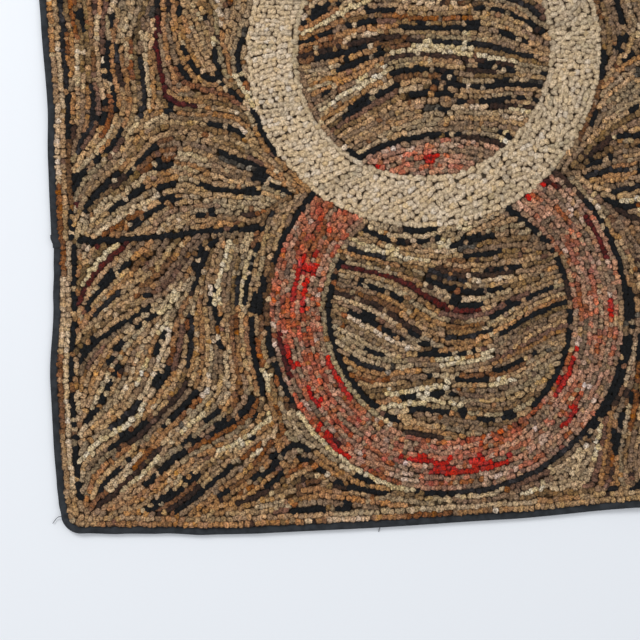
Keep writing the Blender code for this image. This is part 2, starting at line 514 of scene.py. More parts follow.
GREY_OUTLINE = Blend(((Wool.TAUPE, 16), (Wool.GREIGE, 66), (Wool.OATMEAL, 18)), 8, 24)
DIVIDER = Blend(((Wool.BLACK, 95), (Wool.TWEED, 5)), 4, 16)


# ---------------------------------------------------------------- the hooked pattern


class Area(Enum):
    """The parts of the pattern, by name."""

    BORDER = "border_rows"
    GROUND = "ground"
    CREAM_RING = "cream_ring"
    RED_RING = "red_ring"
    CREAM_HEART = "cream_heart"
    RED_HEART = "red_heart"


@dataclass(frozen=True)
class Ring:
    """One plain ring, drawn by hand round a plate, in mm."""

    x: float
    y: float
    inner: float
    outer: float
    wobble: float
    phase: float

    def radius_at(self, x: float, y: float) -> float:
        """The distance from the ring's middle, less the wobble of the hand."""
        angle = math.atan2(y - self.y, x - self.x)
        return math.hypot(x - self.x, y - self.y) - self.wobble_at(angle)

    def wobble_at(self, angle: float) -> float:
        """How far the drawn ring strays outwards at an angle."""
        slow, quick = math.sin(2 * angle + self.phase), math.sin(5 * angle + 2 * self.phase)
        return self.wobble * (slow + 0.6 * quick) / 1.6

    def holds(self, x: float, y: float) -> bool:
        """Whether a place lies in the ring's band."""
        return self.inner <= self.radius_at(x, y) <= self.outer

    def arc(self, radius: float, start: float, stop: float, step: float) -> list[tuple[float, float]]:
        """Points along the ring.

        Args:
            radius: The radius before the wobble, in mm.
            start, stop: The angles, in degrees.
            step: The distance between points, in mm.

        Returns:
            The points in order.
        """
        span = math.radians(stop - start)
        count = max(2, round(abs(span) * radius / step))
        points = []
        for k in range(count + 1):
            angle = math.radians(start) + span * k / count
            reach = radius + self.wobble_at(angle)
            points.append((self.x + reach * math.cos(angle), self.y + reach * math.sin(angle)))
        return points


@dataclass(frozen=True)
class Lay:
    """How the rows lie in one broad area: its middle and reach in mm, the rows' heading in degrees."""

    x: float
    y: float
    heading: float
    reach: float = 80.0


@dataclass
class Row:
    """One hooked row: its part of the pattern, the blend it is hooked from and its points, in mm."""

    area: Area
    points: list[tuple[float, float]]
    blend: Optional[Blend] = None


@dataclass
class Pattern:
    """Where each part of the pattern lies and how its rows run: two plain overlapping rings on mixed rows."""

    plan: RugPlan
    cream: Ring = Ring(-5.7, 144.9, 138.5, 194.0, 1.8, 0.7)
    red: Ring = Ring(5.5, -144.9, 138.5, 194.0, 1.8, 2.9)
    border_reach: float = 20.5
    lays: tuple[Lay, ...] = (
        Lay(-350, 50, 45), Lay(-250, 50, -15), Lay(-350, -100, 30), Lay(-250, -150, 90), Lay(-350, -300, 45),
        Lay(-250, -300, 30), Lay(0, -350, 0), Lay(200, -300, 90), Lay(200, 50, 15), Lay(350, -300, 30),
        Lay(350, -150, -45), Lay(350, 50, 30), Lay(350, 150, -60), Lay(350, 300, -30), Lay(200, 300, 45),
        Lay(0, 350, 0), Lay(-250, 300, -45), Lay(-350, 250, 45), Lay(-350, 150, -75),
    )

    def area_at(self, x: float, y: float) -> Optional[Area]:
        """The part of the pattern at a place.

        Args:
            x, y: The place, in mm.

        Returns:
            The part, or None outside the pile.
        """
        inset = self.plan.inset_at(x, y)
        if inset < self.plan.pile_foot + 0.6:
            return None
        if self.cream.holds(x, y):
            return Area.CREAM_RING
        if self.red.holds(x, y):
            return Area.RED_RING
        if inset < self.border_reach:
            return Area.BORDER
        if self.cream.radius_at(x, y) < self.cream.inner:
            return Area.CREAM_HEART
        if self.red.radius_at(x, y) < self.red.inner:
            return Area.RED_HEART
        return Area.GROUND

    def heading_at(self, x: float, y: float, area: Area) -> float:
        """How a row runs at a place.

        Args:
            x, y: The place, in mm.
            area: The part of the pattern that is being hooked.

        Returns:
            The heading in radians. A row runs both ways along it.
        """
        if area is Area.RED_RING:
            return math.atan2(y - self.red.y, x - self.red.x) + math.pi / 2
        if area is Area.CREAM_RING:
            right = smooth_step((x + 40) / 180)
            middle = smooth_step((x + 190) / 190)
            return math.radians(6 + 26 * middle + (12 + 40 * right) * drift(x, y, 96, 4.0))
        if area is Area.RED_HEART:
            bowl = 34 * (x - self.red.x) / self.red.inner
            return math.radians(bowl - 4 + 22 * drift(x, y, 150, 1.3))
        if area is Area.CREAM_HEART:
            arc = math.atan2(y - self.red.y, x - self.red.x) - math.pi / 2
            return arc + math.radians(16 * drift(x, y, 130, 2.4))
        return self.ground_heading(x, y)

    def ground_heading(self, x: float, y: float) -> float:
        """How the ground's rows run: along the edge or a ring beside one, else as the area lies.

        Args:
            x, y: The place, in mm.

        Returns:
            The heading in radians.
        """
        pull_x, pull_y = 0.0, 0.0

        def pull(angle: float, weight: float) -> None:
            """Adds one influence, alike for a heading and its opposite.

            Args:
                angle: The heading, in radians.
                weight: How strongly it pulls.
            """
            nonlocal pull_x, pull_y
            pull_x += weight * math.cos(2 * angle)
            pull_y += weight * math.sin(2 * angle)

        for lay in self.lays:
            away = math.hypot(x - lay.x, y - lay.y) / lay.reach
            pull(math.radians(lay.heading), math.exp(-away * away))
        for ring in (self.cream, self.red):
            gap = max(0.0, ring.radius_at(x, y) - ring.outer)
            pull(math.atan2(y - ring.y, x - ring.x) + math.pi / 2, 2.2 * math.exp(-gap / 16))
        side = self.plan.width / 2 - abs(x)
        end = self.plan.length / 2 - abs(y)
        pull(math.pi / 2, 5.0 * math.exp(-side / 15))
        pull(0.0, 5.0 * math.exp(-end / 15))
        return 0.5 * math.atan2(pull_y, pull_x) + math.radians(15) * drift(x, y, 110, 5.2)


@dataclass
class RowHooker:
    """Lays the rows of loops: first those that draw the pattern, then even rows between them."""

    pattern: Pattern
    row_pitch: float = 5.7
    ring_pitch: float = 5.45
    step: float = 2.6
    closest: float = 0.70
    longest_row: float = 170.0
    drawn_closest: float = 0.66
    rows: list[Row] = field(default_factory=list)
    cells: dict[tuple[int, int], list[tuple[float, float]]] = field(default_factory=lambda: defaultdict(list))

    def is_clear(self, x: float, y: float, distance: float) -> bool:
        """Whether no row lies within a distance of a place.

        Args:
            x, y: The place, in mm.
            distance: The distance, up to the row pitch.

        Returns:
            True where it is clear.
        """
        column, line = int(x // self.row_pitch), int(y // self.row_pitch)
        limit = distance * distance
        for i in (column - 1, column, column + 1):
            for j in (line - 1, line, line + 1):
                for other_x, other_y in self.cells.get((i, j), ()):
                    if (x - other_x) ** 2 + (y - other_y) ** 2 < limit:
                        return False
        return True

    def add(self, row: Row) -> None:
        """Keeps a row and marks its places as taken.

        Args:
            row: The row, with points about a step apart.
        """
        self.rows.append(row)
        for x, y in row.points:
            self.cells[(int(x // self.row_pitch), int(y // self.row_pitch))].append((x, y))

    def add_drawn(
        self, points: Sequence[tuple[float, float]], area: Area, held: Callable[[float, float], bool],
        blend: Optional[Blend] = None,
    ) -> None:
        """Adds a drawn row where it is held, in as many pieces as the pattern over it leaves.

        Args:
            points: The row's points, about a step apart.
            area: The part of the pattern that its loops belong to.
            held: Tells whether the row shows at a place.
            blend: The blend that it is hooked from, if not its area's.
        """
        piece: list[tuple[float, float]] = []
        pieces = []
        for x, y in points:
            if held(x, y) and self.is_clear(x, y, self.row_pitch * self.drawn_closest):
                piece.append((x, y))
            elif piece:
                pieces.append(piece)
                piece = []
        pieces.append(piece)
        for piece in pieces:
            if len(piece) > 1:
                self.add(Row(area, piece, blend))

    def draw_pattern(self) -> None:
        """Adds the border rows, the rings with their outlines and the two dividing rows."""
        pattern, plan = self.pattern, self.pattern.plan
        for inset, blend in ((11.9, FIRST_BORDER), (17.7, SECOND_BORDER)):
            places = [(x, y) for x, y, _, _ in plan.outline(inset, self.step)]
            self.add_drawn(places, Area.BORDER, lambda x, y: True, blend)
        cream, red = pattern.cream, pattern.red
        for radius in (cream.outer - 2.7, cream.inner + 2.7):
            self.add_drawn(cream.arc(radius, 0, 359, self.step), Area.CREAM_RING, cream.holds)

        def open_to_red(x: float, y: float) -> bool:
            """Whether the red ring shows here, where the cream one doesn't cover it."""
            return not cream.holds(x, y)

        count = round((red.outer - red.inner) / self.ring_pitch)
        for k in range(count):
            radius = red.inner + (red.outer - red.inner) * (k + 0.5) / count
            turn = 97.0 * k
            self.add_drawn(red.arc(radius, turn, turn + 358.4, self.step), Area.RED_RING, open_to_red)

        def open_ground(x: float, y: float) -> bool:
            """Whether a place is in neither ring's band."""
            return not cream.holds(x, y) and not red.holds(x, y) and pattern.area_at(x, y) is not None

        outlines = (
            (red, red.outer + 3.0, -92, 119, OUTLINE_ROW),
            (red, red.outer + 3.0, -150, -93, PALE_OUTLINE),
            (red, red.outer + 3.0, 120, 209, BROKEN_OUTLINE),
            (red, red.inner - 3.0, -212, -128, GREY_OUTLINE),
            (red, red.inner - 9.0, -210, -118, OUTLINE_ROW),
            (red, red.inner - 3.0, -50, 144, OUTLINE_ROW),
            (red, red.outer + 8.8, -60, 5, BROKEN_OUTLINE),
            (cream, cream.outer + 3.0, -50, 20, BROKEN_OUTLINE),
            (cream, cream.inner - 3.0, 185, 250, BROKEN_OUTLINE),
        )
        for ring, radius, start, stop, blend in outlines:
            path = ring.arc(radius, start, stop, self.step)
            area = pattern.area_at(*path[0]) or Area.GROUND
            by_area: dict[Area, list[tuple[float, float]]] = {}
            for x, y in path:
                by_area.setdefault(pattern.area_at(x, y) or area, []).append((x, y))
            for part, points in by_area.items():
                for run in self.unbroken(points):
                    self.add_drawn(run, part, open_ground, blend)
        for sign in (-1, 1):
            reach = plan.length / 2 - 26
            count = round(2 * reach / self.step)
            side = [(sign * (plan.width / 2 - 23.5), reach * (1 - 2 * k / count)) for k in range(count + 1)]
            self.add_drawn(side, Area.GROUND, open_ground, THIRD_BORDER)
        half = plan.width / 2 - 29
        for start, stop, level in ((-half, -190.0, -42.0), (190.0, half, 42.0)):
            count = round((stop - start) / self.step)
            places = [start + (stop - start) * k / count for k in range(count + 1)]
            line = [(x, level + 2.5 * math.sin(x / 46)) for x in places]
            self.add_drawn(line, Area.GROUND, open_ground, DIVIDER)

    def unbroken(self, points: Sequence[tuple[float, float]]) -> Iterator[list[tuple[float, float]]]:
        """Splits points where two that follow each other lie far apart.

        Args:
            points: The points in order.

        Returns:
            One list for each unbroken stretch.
        """
        run: list[tuple[float, float]] = []
        for point in points:
            if run and math.dist(run[-1], point) > 3 * self.step:
                yield run
                run = []
            run.append(point)
        if run:
            yield run

    def grow(self, x: float, y: float, area: Area) -> list[tuple[float, float]]:
        """Follows the lay of the rows both ways from a place, until another row or part is in the way.

        Args:
            x, y: The place, in mm.
            area: The part of the pattern to stay in.

        Returns:
            The row's points in order.
        """
        ends: list[list[tuple[float, float]]] = []
        near = self.row_pitch * self.closest
        for sign in (1, -1):
            heading = self.pattern.heading_at(x, y, area)
            way_x, way_y = sign * math.cos(heading), sign * math.sin(heading)
            at_x, at_y, half = x, y, []
            while len(half) * self.step < self.longest_row / 2:
                at_x, at_y = at_x + way_x * self.step, at_y + way_y * self.step
                if self.pattern.area_at(at_x, at_y) is not area or not self.is_clear(at_x, at_y, near):
                    break
                if any(math.hypot(at_x - p, at_y - q) < near for p, q in half[:-3]):
                    break
                half.append((at_x, at_y))
                heading = self.pattern.heading_at(at_x, at_y, area)
                next_x, next_y = math.cos(heading), math.sin(heading)
                if next_x * way_x + next_y * way_y < 0:
                    next_x, next_y = -next_x, -next_y
                way_x, way_y = next_x, next_y
            ends.append(half)
        return ends[1][::-1] + [(x, y)] + ends[0]

    def fill(self, rng: random.Random) -> None:
        """Fills the rest of the pile with even rows, and the last holes with single loops.

        Args:
            rng: The seeded dice.
        """
        queue = deque(self.rows)
        while queue:
            for row in self.beside(queue.popleft()):
                queue.append(row)
        plan = self.pattern.plan
        for closeness, pitch in ((0.9, 4.0), (0.78, 2.0)):
            for column in range(int(plan.width / pitch)):
                for line in range(int(plan.length / pitch)):
                    x = (column + rng.random()) * pitch - plan.width / 2
                    y = (line + rng.random()) * pitch - plan.length / 2
                    area = self.pattern.area_at(x, y)
                    if area is None or not self.is_clear(x, y, self.row_pitch * closeness):
                        continue
                    self.add(Row(area, self.grow(x, y, area)))

    def beside(self, row: Row) -> Iterator[Row]:
        """Adds the rows that fit beside a row.

        Args:
            row: The row.

        Returns:
            Each added row.
        """
        for k in range(0, len(row.points), 4):
            x, y = row.points[k]
            before, after = row.points[max(0, k - 1)], row.points[min(len(row.points) - 1, k + 1)]
            run = math.dist(before, after)
            if run == 0:
                continue
            off_x, off_y = -(after[1] - before[1]) / run, (after[0] - before[0]) / run
            for sign in (1, -1):
                at_x = x + sign * off_x * self.row_pitch * 1.01
                at_y = y + sign * off_y * self.row_pitch * 1.01
                area = self.pattern.area_at(at_x, at_y)
                if area is None or not self.is_clear(at_x, at_y, self.row_pitch * 0.97):
                    continue
                added = Row(area, self.grow(at_x, at_y, area))
                self.add(added)
                yield added


STREAK_WOOLS = (Wool.BLACK, Wool.TWEED, Wool.SCARLET)
PALE_WOOLS = (Wool.CREAM, Wool.RING_IVORY, Wool.RING_BONE, Wool.RING_STONE)


@dataclass
class Loop:
    """One rag loop: its place and heading, half its size along and across the row, its part and its wool."""

    x: float
    y: float
    heading: float
    row: int
    area: Area
    along: float = 2.8
    across: float = 2.7
    wool: Wool = Wool.TAN
    colour: tuple[float, float, float] = (0.3, 0.2, 0.1)


@dataclass
class LoopLayer:
    """Places the loops along the rows, evens out their spacing and gives each its wool."""

    pattern: Pattern
    loop_pitch: float = 5.6
    rest_gap: float = 6.4
    easings: int = 8
    unevenness: float = 0.75
    tone_wave: float = 74.0
    odd_loops: float = 0.08
    odd_in_red: float = 0.40
    streak_gap: float = 10.5
    red_streak_chance: float = 0.10
    longest_red_run: int = 16
    worn_streaks: float = 0.11
    widest_along: float = 7.6
    widest_across: float = 7.4
    along_limits: tuple[float, float] = (2.4, 4.4)
    across_limits: tuple[float, float] = (2.3, 3.8)
    pale_light_spread: float = 0.04
    rag_light_spread: float = 0.12
    brightest: float = 0.76
    loops: list[Loop] = field(default_factory=list)

    def place(self, rows: Sequence[Row]) -> None:
        """Puts loops along each row at an even pitch.

        Args:
            rows: The rows.
        """
        for number, row in enumerate(rows):
            reach = [0.0]
            for before, after in zip(row.points, row.points[1:]):
                reach.append(reach[-1] + math.dist(before, after))
            count = max(1, round((reach[-1] + self.loop_pitch * 0.6) / self.loop_pitch))
            k = 0
            for n in range(count):
                wanted = reach[-1] * (n + 0.5) / count if count > 1 else reach[-1] / 2
                while k < len(reach) - 2 and reach[k + 1] < wanted:
                    k += 1
                if len(row.points) == 1:
                    (x, y), heading = row.points[0], self.pattern.heading_at(*row.points[0], row.area)
                else:
                    (x0, y0), (x1, y1) = row.points[k], row.points[k + 1]
                    share = (wanted - reach[k]) / max(1e-6, reach[k + 1] - reach[k])
                    x, y = x0 + (x1 - x0) * share, y0 + (y1 - y0) * share
                    heading = math.atan2(y1 - y0, x1 - x0)
                self.loops.append(Loop(x, y, heading, number, row.area))

    def tree(self) -> KDTree:
        """A search tree of the loops' places."""
        tree = KDTree(len(self.loops))
        for number, loop in enumerate(self.loops):
            tree.insert((loop.x, loop.y, 0), number)
        tree.balance()
        return tree

    def ease(self, rng: random.Random) -> None:
        """Shifts the loops as an uneven hand does, then pushes those that crowd each other a little apart.

        Args:
            rng: The seeded dice.
        """
        for loop in self.loops:
            loop.x += rng.gauss(0, self.unevenness)
            loop.y += rng.gauss(0, self.unevenness)
        for _ in range(self.easings):
            tree, moved = self.tree(), []
            for number, loop in enumerate(self.loops):
                push_x = push_y = 0.0
                for (x, y, _z), other, gap in tree.find_range((loop.x, loop.y, 0), self.rest_gap):
                    if other != number and gap > 1e-6:
                        share = 0.15 * (self.rest_gap - gap) / gap
                        push_x += (loop.x - x) * share
                        push_y += (loop.y - y) * share
                x, y = loop.x + push_x, loop.y + push_y
                short = self.pattern.plan.pile_foot + 2.7 - self.pattern.plan.inset_at(x, y)
                if short > 0:
                    side = self.pattern.plan.width / 2 - abs(x)
                    end = self.pattern.plan.length / 2 - abs(y)
                    if side < end:
                        x -= math.copysign(short, x)
                    else:
                        y -= math.copysign(short, y)
                moved.append((x, y))
            for loop, (x, y) in zip(self.loops, moved):
                loop.x, loop.y = x, y

    def size(self) -> None:
        """Makes each loop as large as its neighbours leave it room."""
        tree = self.tree()
        for number, loop in enumerate(self.loops):
            way_x, way_y = math.cos(loop.heading), math.sin(loop.heading)
            near = dict.fromkeys(("front", "back"), self.widest_along)
            near |= dict.fromkeys(("left", "right"), self.widest_across)
            for (x, y, _z), other, gap in tree.find_n((loop.x, loop.y, 0), 9):
                if other == number:
                    continue
                along = (x - loop.x) * way_x + (y - loop.y) * way_y
                across = (y - loop.y) * way_x - (x - loop.x) * way_y
                if abs(along) > abs(across):
                    side = "front" if along > 0 else "back"
                else:
                    side = "left" if across > 0 else "right"
                near[side] = min(near[side], gap)
            full = 1.04 if loop.area is Area.CREAM_RING else 1.0
            least, most = self.along_limits
            loop.along = full * min(most, max(least, 0.300 * (near["front"] + near["back"])))
            least, most = self.across_limits
            loop.across = full * min(most, max(least, 0.268 * (near["left"] + near["right"])))

    def tone_at(self, loop: Loop, rng: random.Random) -> float:
        """How dark or light the rag at a loop is, alike over a patch of rows.

        Args:
            loop: The loop.
            rng: The seeded dice.

        Returns:
            The tone, from 0 for dark to 1 for light.
        """
        patch = drift(loop.x, loop.y, self.tone_wave, 9.1) + 0.6 * drift(loop.x, loop.y, 27.0, 3.3)
        return 0.5 + 0.29 * patch + rng.gauss(0, 0.19)

    def ground_blend(self, x: float, y: float, rng: random.Random) -> Blend:
        """The blend of the ground at a place: warm at the left, cooler at the right, with grey patches.

        Args:
            x, y: The place, in mm.
            rng: The seeded dice.

        Returns:
            The blend.
        """
        if drift(x, y, 120, 7.7) > 0.52:
            return GREY_GROUND
        cool = smooth_step((x + 260) / 420)
        return COOL_GROUND if rng.random() < 0.15 + 0.7 * cool else WARM_GROUND

    def body_blend(self, loop: Loop, rng: random.Random) -> Blend:
        """The blend of the plain rows at a loop.

        Args:
            loop: The loop that a rag starts at.
            rng: The seeded dice.

        Returns:
            The blend.
        """
        if loop.area is Area.CREAM_RING:
            grey = smooth_step((loop.x + 150) / 300)
            warm = (Wool.RING_IVORY, 70 - 45 * grey)
            return Blend((warm, (Wool.RING_BONE, 40), (Wool.RING_STONE, 8 + 22 * grey)), 5, 20)
        if loop.area is Area.RED_RING:
            return ROSE_BODY if rng.random() < smooth_step((loop.x + 150) / 300) else RED_BODY
        return self.ground_blend(loop.x, loop.y, rng)

    def dye(self, rows: Sequence[Row], rng: random.Random) -> None:
        """Gives each run of loops the wool of one rag. Streaks of one colour keep apart from each other.

        Args:
            rows: The rows that the loops were placed on.
            rng: The seeded dice.
        """
        by_row: dict[int, list[Loop]] = defaultdict(list)
        for loop in self.loops:
            by_row[loop.row].append(loop)
        dark: dict[tuple[int, int], list[Loop]] = defaultdict(list)

        def crowded(loop: Loop) -> bool:
            """Whether another row's dark streak is near.

            Args:
                loop: The loop that a streak would reach.

            Returns:
                True where one is near.
            """
            column, line = int(loop.x // self.streak_gap), int(loop.y // self.streak_gap)
            return any(
                other.row != loop.row and math.hypot(other.x - loop.x, other.y - loop.y) < self.streak_gap
                for i in (-1, 0, 1)
                for j in (-1, 0, 1)
                for other in dark.get((column + i, line + j), ())
            )

        for number in sorted(by_row, key=lambda n: rows[n].blend is None):
            line, drawn = by_row[number], rows[number].blend
            first_area = line[0].area
            streaks = None if drawn else self.streaks_of(first_area, rng)
            streak_wool = streaks.blend.pick(rng) if streaks else Wool.TAN
            streaked, start = first_area is not Area.RED_RING and rng.random() < 0.5, 0
            while start < len(line):
                first = line[start]
                body = drawn or self.body_blend(first, rng)
                wool, run = body.pick(rng, None if drawn else self.tone_at(first, rng)), body.run(rng)
                if streaks and streaked:
                    wool, run = streak_wool, streaks.blend.run(rng)
                elif streaks:
                    run = streaks.between(rng) if first.area is not Area.RED_RING else min(run, self.longest_red_run)
                group = line[start : start + run]
                if wool in STREAK_WOOLS and not drawn:
                    if any(crowded(loop) for loop in (group[0], group[len(group) // 2], group[-1])):
                        wool = self.body_blend(first, rng).pick(rng, self.tone_at(first, rng))
                self.dye_run(group, wool, rng)
                if wool in STREAK_WOOLS:
                    for loop in group:
                        dark[(int(loop.x // self.streak_gap), int(loop.y // self.streak_gap))].append(loop)
                if streaks and first.area is Area.RED_RING:
                    streaked = rng.random() < self.red_streak_chance
                else:
                    streaked = not streaked
                start += run

    def streaks_of(self, area: Area, rng: random.Random) -> Optional[Streaks]:
        """How one more row of a part is streaked.

        Args:
            area: The part of the pattern.
            rng: The seeded dice.

        Returns:
            The streaks, or None for a row that has none.
        """
        hearts = (Area.RED_HEART, Area.CREAM_HEART)
        others = RED_STREAKS if area is Area.RED_RING else GROUND_STREAKS
        streaks = HEART_STREAKS if area in hearts else others
        return streaks if area is not Area.CREAM_RING and rng.random() < streaks.share else None

    def double_streaks(self, rows: Sequence[Row], rng: random.Random) -> None:
        """Widens some stretches of the streaks by a second row, where the hand went back over them.

        Args:
            rows: The rows that the loops were placed on.
            rng: The seeded dice.
        """
        tree = self.tree()
        widened: list[tuple[int, Wool]] = []
        spreads = {Wool.BLACK: (0.60, 48.0), Wool.SCARLET: (0.25, 30.0), Wool.CREAM: (0.45, 40.0)}
        for loop in self.loops:
            least, wave = spreads.get(loop.wool, (2.0, 50.0))
            if drift(loop.x, loop.y, wave, 6.1) < least:
                continue
            side_x, side_y = -math.sin(loop.heading), math.cos(loop.heading)
            _, other, gap = tree.find((loop.x + side_x * 5.4, loop.y + side_y * 5.4, 0))
            near = self.loops[other]
            drawn = rows[loop.row].blend is not None or rows[near.row].blend is not None
            if gap < 3.2 and near.wool is not loop.wool and near.area is loop.area and not drawn:
                widened.append((other, loop.wool))
        for number, wool in widened:
            self.dye_run([self.loops[number]], wool, rng)

    def mix_in_odd_loops(self, rng: random.Random) -> None:
        """Swaps the wool of single loops for one of a near tone, as mixed rags show.

        Args:
            rng: The seeded dice.
        """
        bodies = (WARM_GROUND, COOL_GROUND, RED_BODY, ROSE_BODY)
        plain = {wool for blend in bodies for wool, _ in blend.shares}
        for loop in self.loops:
            chance = self.odd_in_red if loop.area is Area.RED_RING else self.odd_loops
            if loop.wool in plain and rng.random() < chance:
                blend = self.body_blend(loop, rng)
                self.dye_run([loop], blend.pick(rng, self.tone_at(loop, rng)), rng)
            elif loop.wool in (Wool.BLACK, Wool.SCARLET) and rng.random() < self.worn_streaks:
                self.dye_run([loop], self.body_blend(loop, rng).pick(rng), rng)

    def dye_run(self, group: Sequence[Loop], wool: Wool, rng: random.Random) -> None:
        """Colours the loops of one rag: each rag differs a little, and each of its loops a little more.

        Args:
            group: The loops.
            wool: Their wool.
            rng: The seeded dice.
        """
        hue, light, strength = colorsys.rgb_to_hls(*linear_colour(wool.value[0]))
        uneven = self.pale_light_spread if wool in PALE_WOOLS else self.rag_light_spread
        rag_light = rng.gauss(0, uneven)
        wander = 0.2 if wool in (Wool.SCARLET, Wool.CREAM, Wool.RING_IVORY, Wool.RING_BONE) else 1.0
        rag_hue = rng.gauss(0, 0.003) * wander
        for loop in group:
            bright = math.exp(rag_light + rng.gauss(0, wool.jitter))
            shade = colorsys.hls_to_rgb(
                (hue + rag_hue + rng.gauss(0, 0.002) * wander) % 1.0,
                min(self.brightest, light * bright),
                min(1.0, strength * math.exp(rng.gauss(0, 0.07))),
            )
            loop.wool, loop.colour = wool, shade


# ---------------------------------------------------------------- finishes


def new_group(
    name: str, inputs: Sequence[tuple[str, str, float]], outputs: Sequence[tuple[str, str]]
) -> bpy.types.NodeTree:
    """Starts a shader node group.

    Args:
        name: Its name.
        inputs: Each input's name, socket type and default.
        outputs: Each output's name and socket type.

    Returns:
        The group with its Group Input and Group Output nodes.
    """
    tree = bpy.data.node_groups.new(name, "ShaderNodeTree")
    for label, kind, value in inputs:
        socket = tree.interface.new_socket(name=label, in_out="INPUT", socket_type=kind)
        if kind == "NodeSocketFloat":
            socket.default_value = value
    for label, kind in outputs:
        tree.interface.new_socket(name=label, in_out="OUTPUT", socket_type=kind)
    tree.nodes.new("NodeGroupInput")
    tree.nodes.new("NodeGroupOutput")
    return tree


def multiplied(tree: bpy.types.NodeTree, factor: object, first: object, second: object) -> object:
    """Adds a multiplying colour mix to a tree.

    Args:
        tree: The tree.
        factor, first, second: Each an output socket, or a value.

    Returns:
        The mixed colour's socket.
    """
    node = tree.nodes.new("ShaderNodeMix")
    node.data_type, node.blend_type = "RGBA", "MULTIPLY"
    for index, value in ((0, factor), (6, first), (7, second)):
        if isinstance(value, bpy.types.NodeSocket):
            tree.links.new(value, node.inputs[index])
        else:
            node.inputs[index].default_value = value
    return node.outputs[2]


def spread(
    tree: bpy.types.NodeTree, value: object, low: float, high: float, to_low: float, to_high: float
) -> object:
    """Adds a Map Range node.

    Args:
        tree: The tree.
        value: The socket to map.
        low, high: The range it comes from.
        to_low, to_high: The range it goes to.

    Returns:
        The mapped socket.
    """
    node = tree.nodes.new("ShaderNodeMapRange")
    tree.links.new(value, node.inputs["Value"])
    for label, number in (("From Min", low), ("From Max", high), ("To Min", to_low), ("To Max", to_high)):
        node.inputs[label].default_value = number
    return node.outputs["Result"]


def shaded(tree: bpy.types.NodeTree, light: object, factor: object, colour: object) -> object:
    """Darkens or lightens a colour by a grey value.

    Args:
        tree: The tree.
        light: The grey value's socket, 1 for no change.
        factor: How much of it shows.
        colour: The colour's socket.

    Returns:
        The shaded colour's socket.
    """
    grey = tree.nodes.new("ShaderNodeCombineColor")
    for channel in ("Red", "Green", "Blue"):
        tree.links.new(light, grey.inputs[channel])
    return multiplied(tree, factor, colour, grey.outputs["Color"])


def nap_group() -> bpy.types.NodeTree:
    """The fuzzy nap of woollen and cotton cloth: flecks in its colour, fibres in its surface.

    Returns:
        The group. It puts out a colour, a roughness and a height.
    """
    colour, number = "NodeSocketColor", "NodeSocketFloat"
    tree = new_group(
        "cloth_nap",
        (
            ("Colour", colour, 0), ("Fleck Scale", number, 620), ("Fleck", number, 0.3),
            ("Fibre Scale", number, 2400),
        ),
        (("Colour", colour), ("Roughness", number), ("Height", number)),
    )
    given, made = tree.nodes["Group Input"], tree.nodes["Group Output"]
    place = tree.nodes.new("ShaderNodeTexCoord")
    noises = []
    for label, detail in (("Fleck Scale", 3.0), ("Fibre Scale", 2.0)):
        noise = tree.nodes.new("ShaderNodeTexNoise")
        noise.inputs["Detail"].default_value = detail
        tree.links.new(place.outputs["Object"], noise.inputs["Vector"])
        tree.links.new(given.outputs[label], noise.inputs["Scale"])
        noises.append(noise.outputs["Fac"])
    light = spread(tree, noises[0], 0.36, 0.64, 0.28, 1.95)
    flecked = shaded(tree, light, given.outputs["Fleck"], given.outputs["Colour"])
    tree.links.new(flecked, made.inputs["Colour"])
    tree.links.new(spread(tree, noises[1], 0.3, 0.7, 0.82, 1.0), made.inputs["Roughness"])
    total = tree.nodes.new("ShaderNodeMath")
    total.operation = "ADD"
    for k, noise in enumerate(noises):
        tree.links.new(noise, total.inputs[k])
    tree.links.new(total.outputs[0], made.inputs["Height"])
    return tree


def weave_group() -> bpy.types.NodeTree:
    """A weave that follows the piece's own map: slanting ribs crossed by fine threads.

    Returns:
        The group. It puts out a colour and a height.
    """
    colour, number = "NodeSocketColor", "NodeSocketFloat"
    tree = new_group(
        "cloth_weave",
        (("Colour", colour, 0), ("Threads", number, 1000), ("Slant", number, 0.7), ("Depth", number, 0.3)),
        (("Colour", colour), ("Height", number)),
    )
    given, made = tree.nodes["Group Input"], tree.nodes["Group Output"]
    layout = tree.nodes.new("ShaderNodeUVMap")
    layout.uv_map = "UVMap"
    turned = tree.nodes.new("ShaderNodeVectorRotate")
    turned.rotation_type = "Z_AXIS"
    tree.links.new(layout.outputs["UV"], turned.inputs["Vector"])
    tree.links.new(given.outputs["Slant"], turned.inputs["Angle"])
    waves = []
    for direction in ("X", "Y"):
        wave = tree.nodes.new("ShaderNodeTexWave")
        wave.bands_direction = direction
        wave.inputs["Distortion"].default_value = 0.6
        wave.inputs["Detail Scale"].default_value = 0.4
        tree.links.new(turned.outputs["Vector"], wave.inputs["Vector"])
        tree.links.new(given.outputs["Threads"], wave.inputs["Scale"])
        waves.append(wave.outputs["Fac"])
    both = tree.nodes.new("ShaderNodeMath")
    both.operation = "MULTIPLY_ADD"
    tree.links.new(waves[1], both.inputs[0])
    both.inputs[1].default_value = 0.35
    tree.links.new(waves[0], both.inputs[2])
    shade = spread(tree, both.outputs[0], 0.0, 1.35, 0.55, 1.25)
    woven = shaded(tree, shade, given.outputs["Depth"], given.outputs["Colour"])
    tree.links.new(woven, made.inputs["Colour"])
    tree.links.new(both.outputs[0], made.inputs["Height"])
    return tree


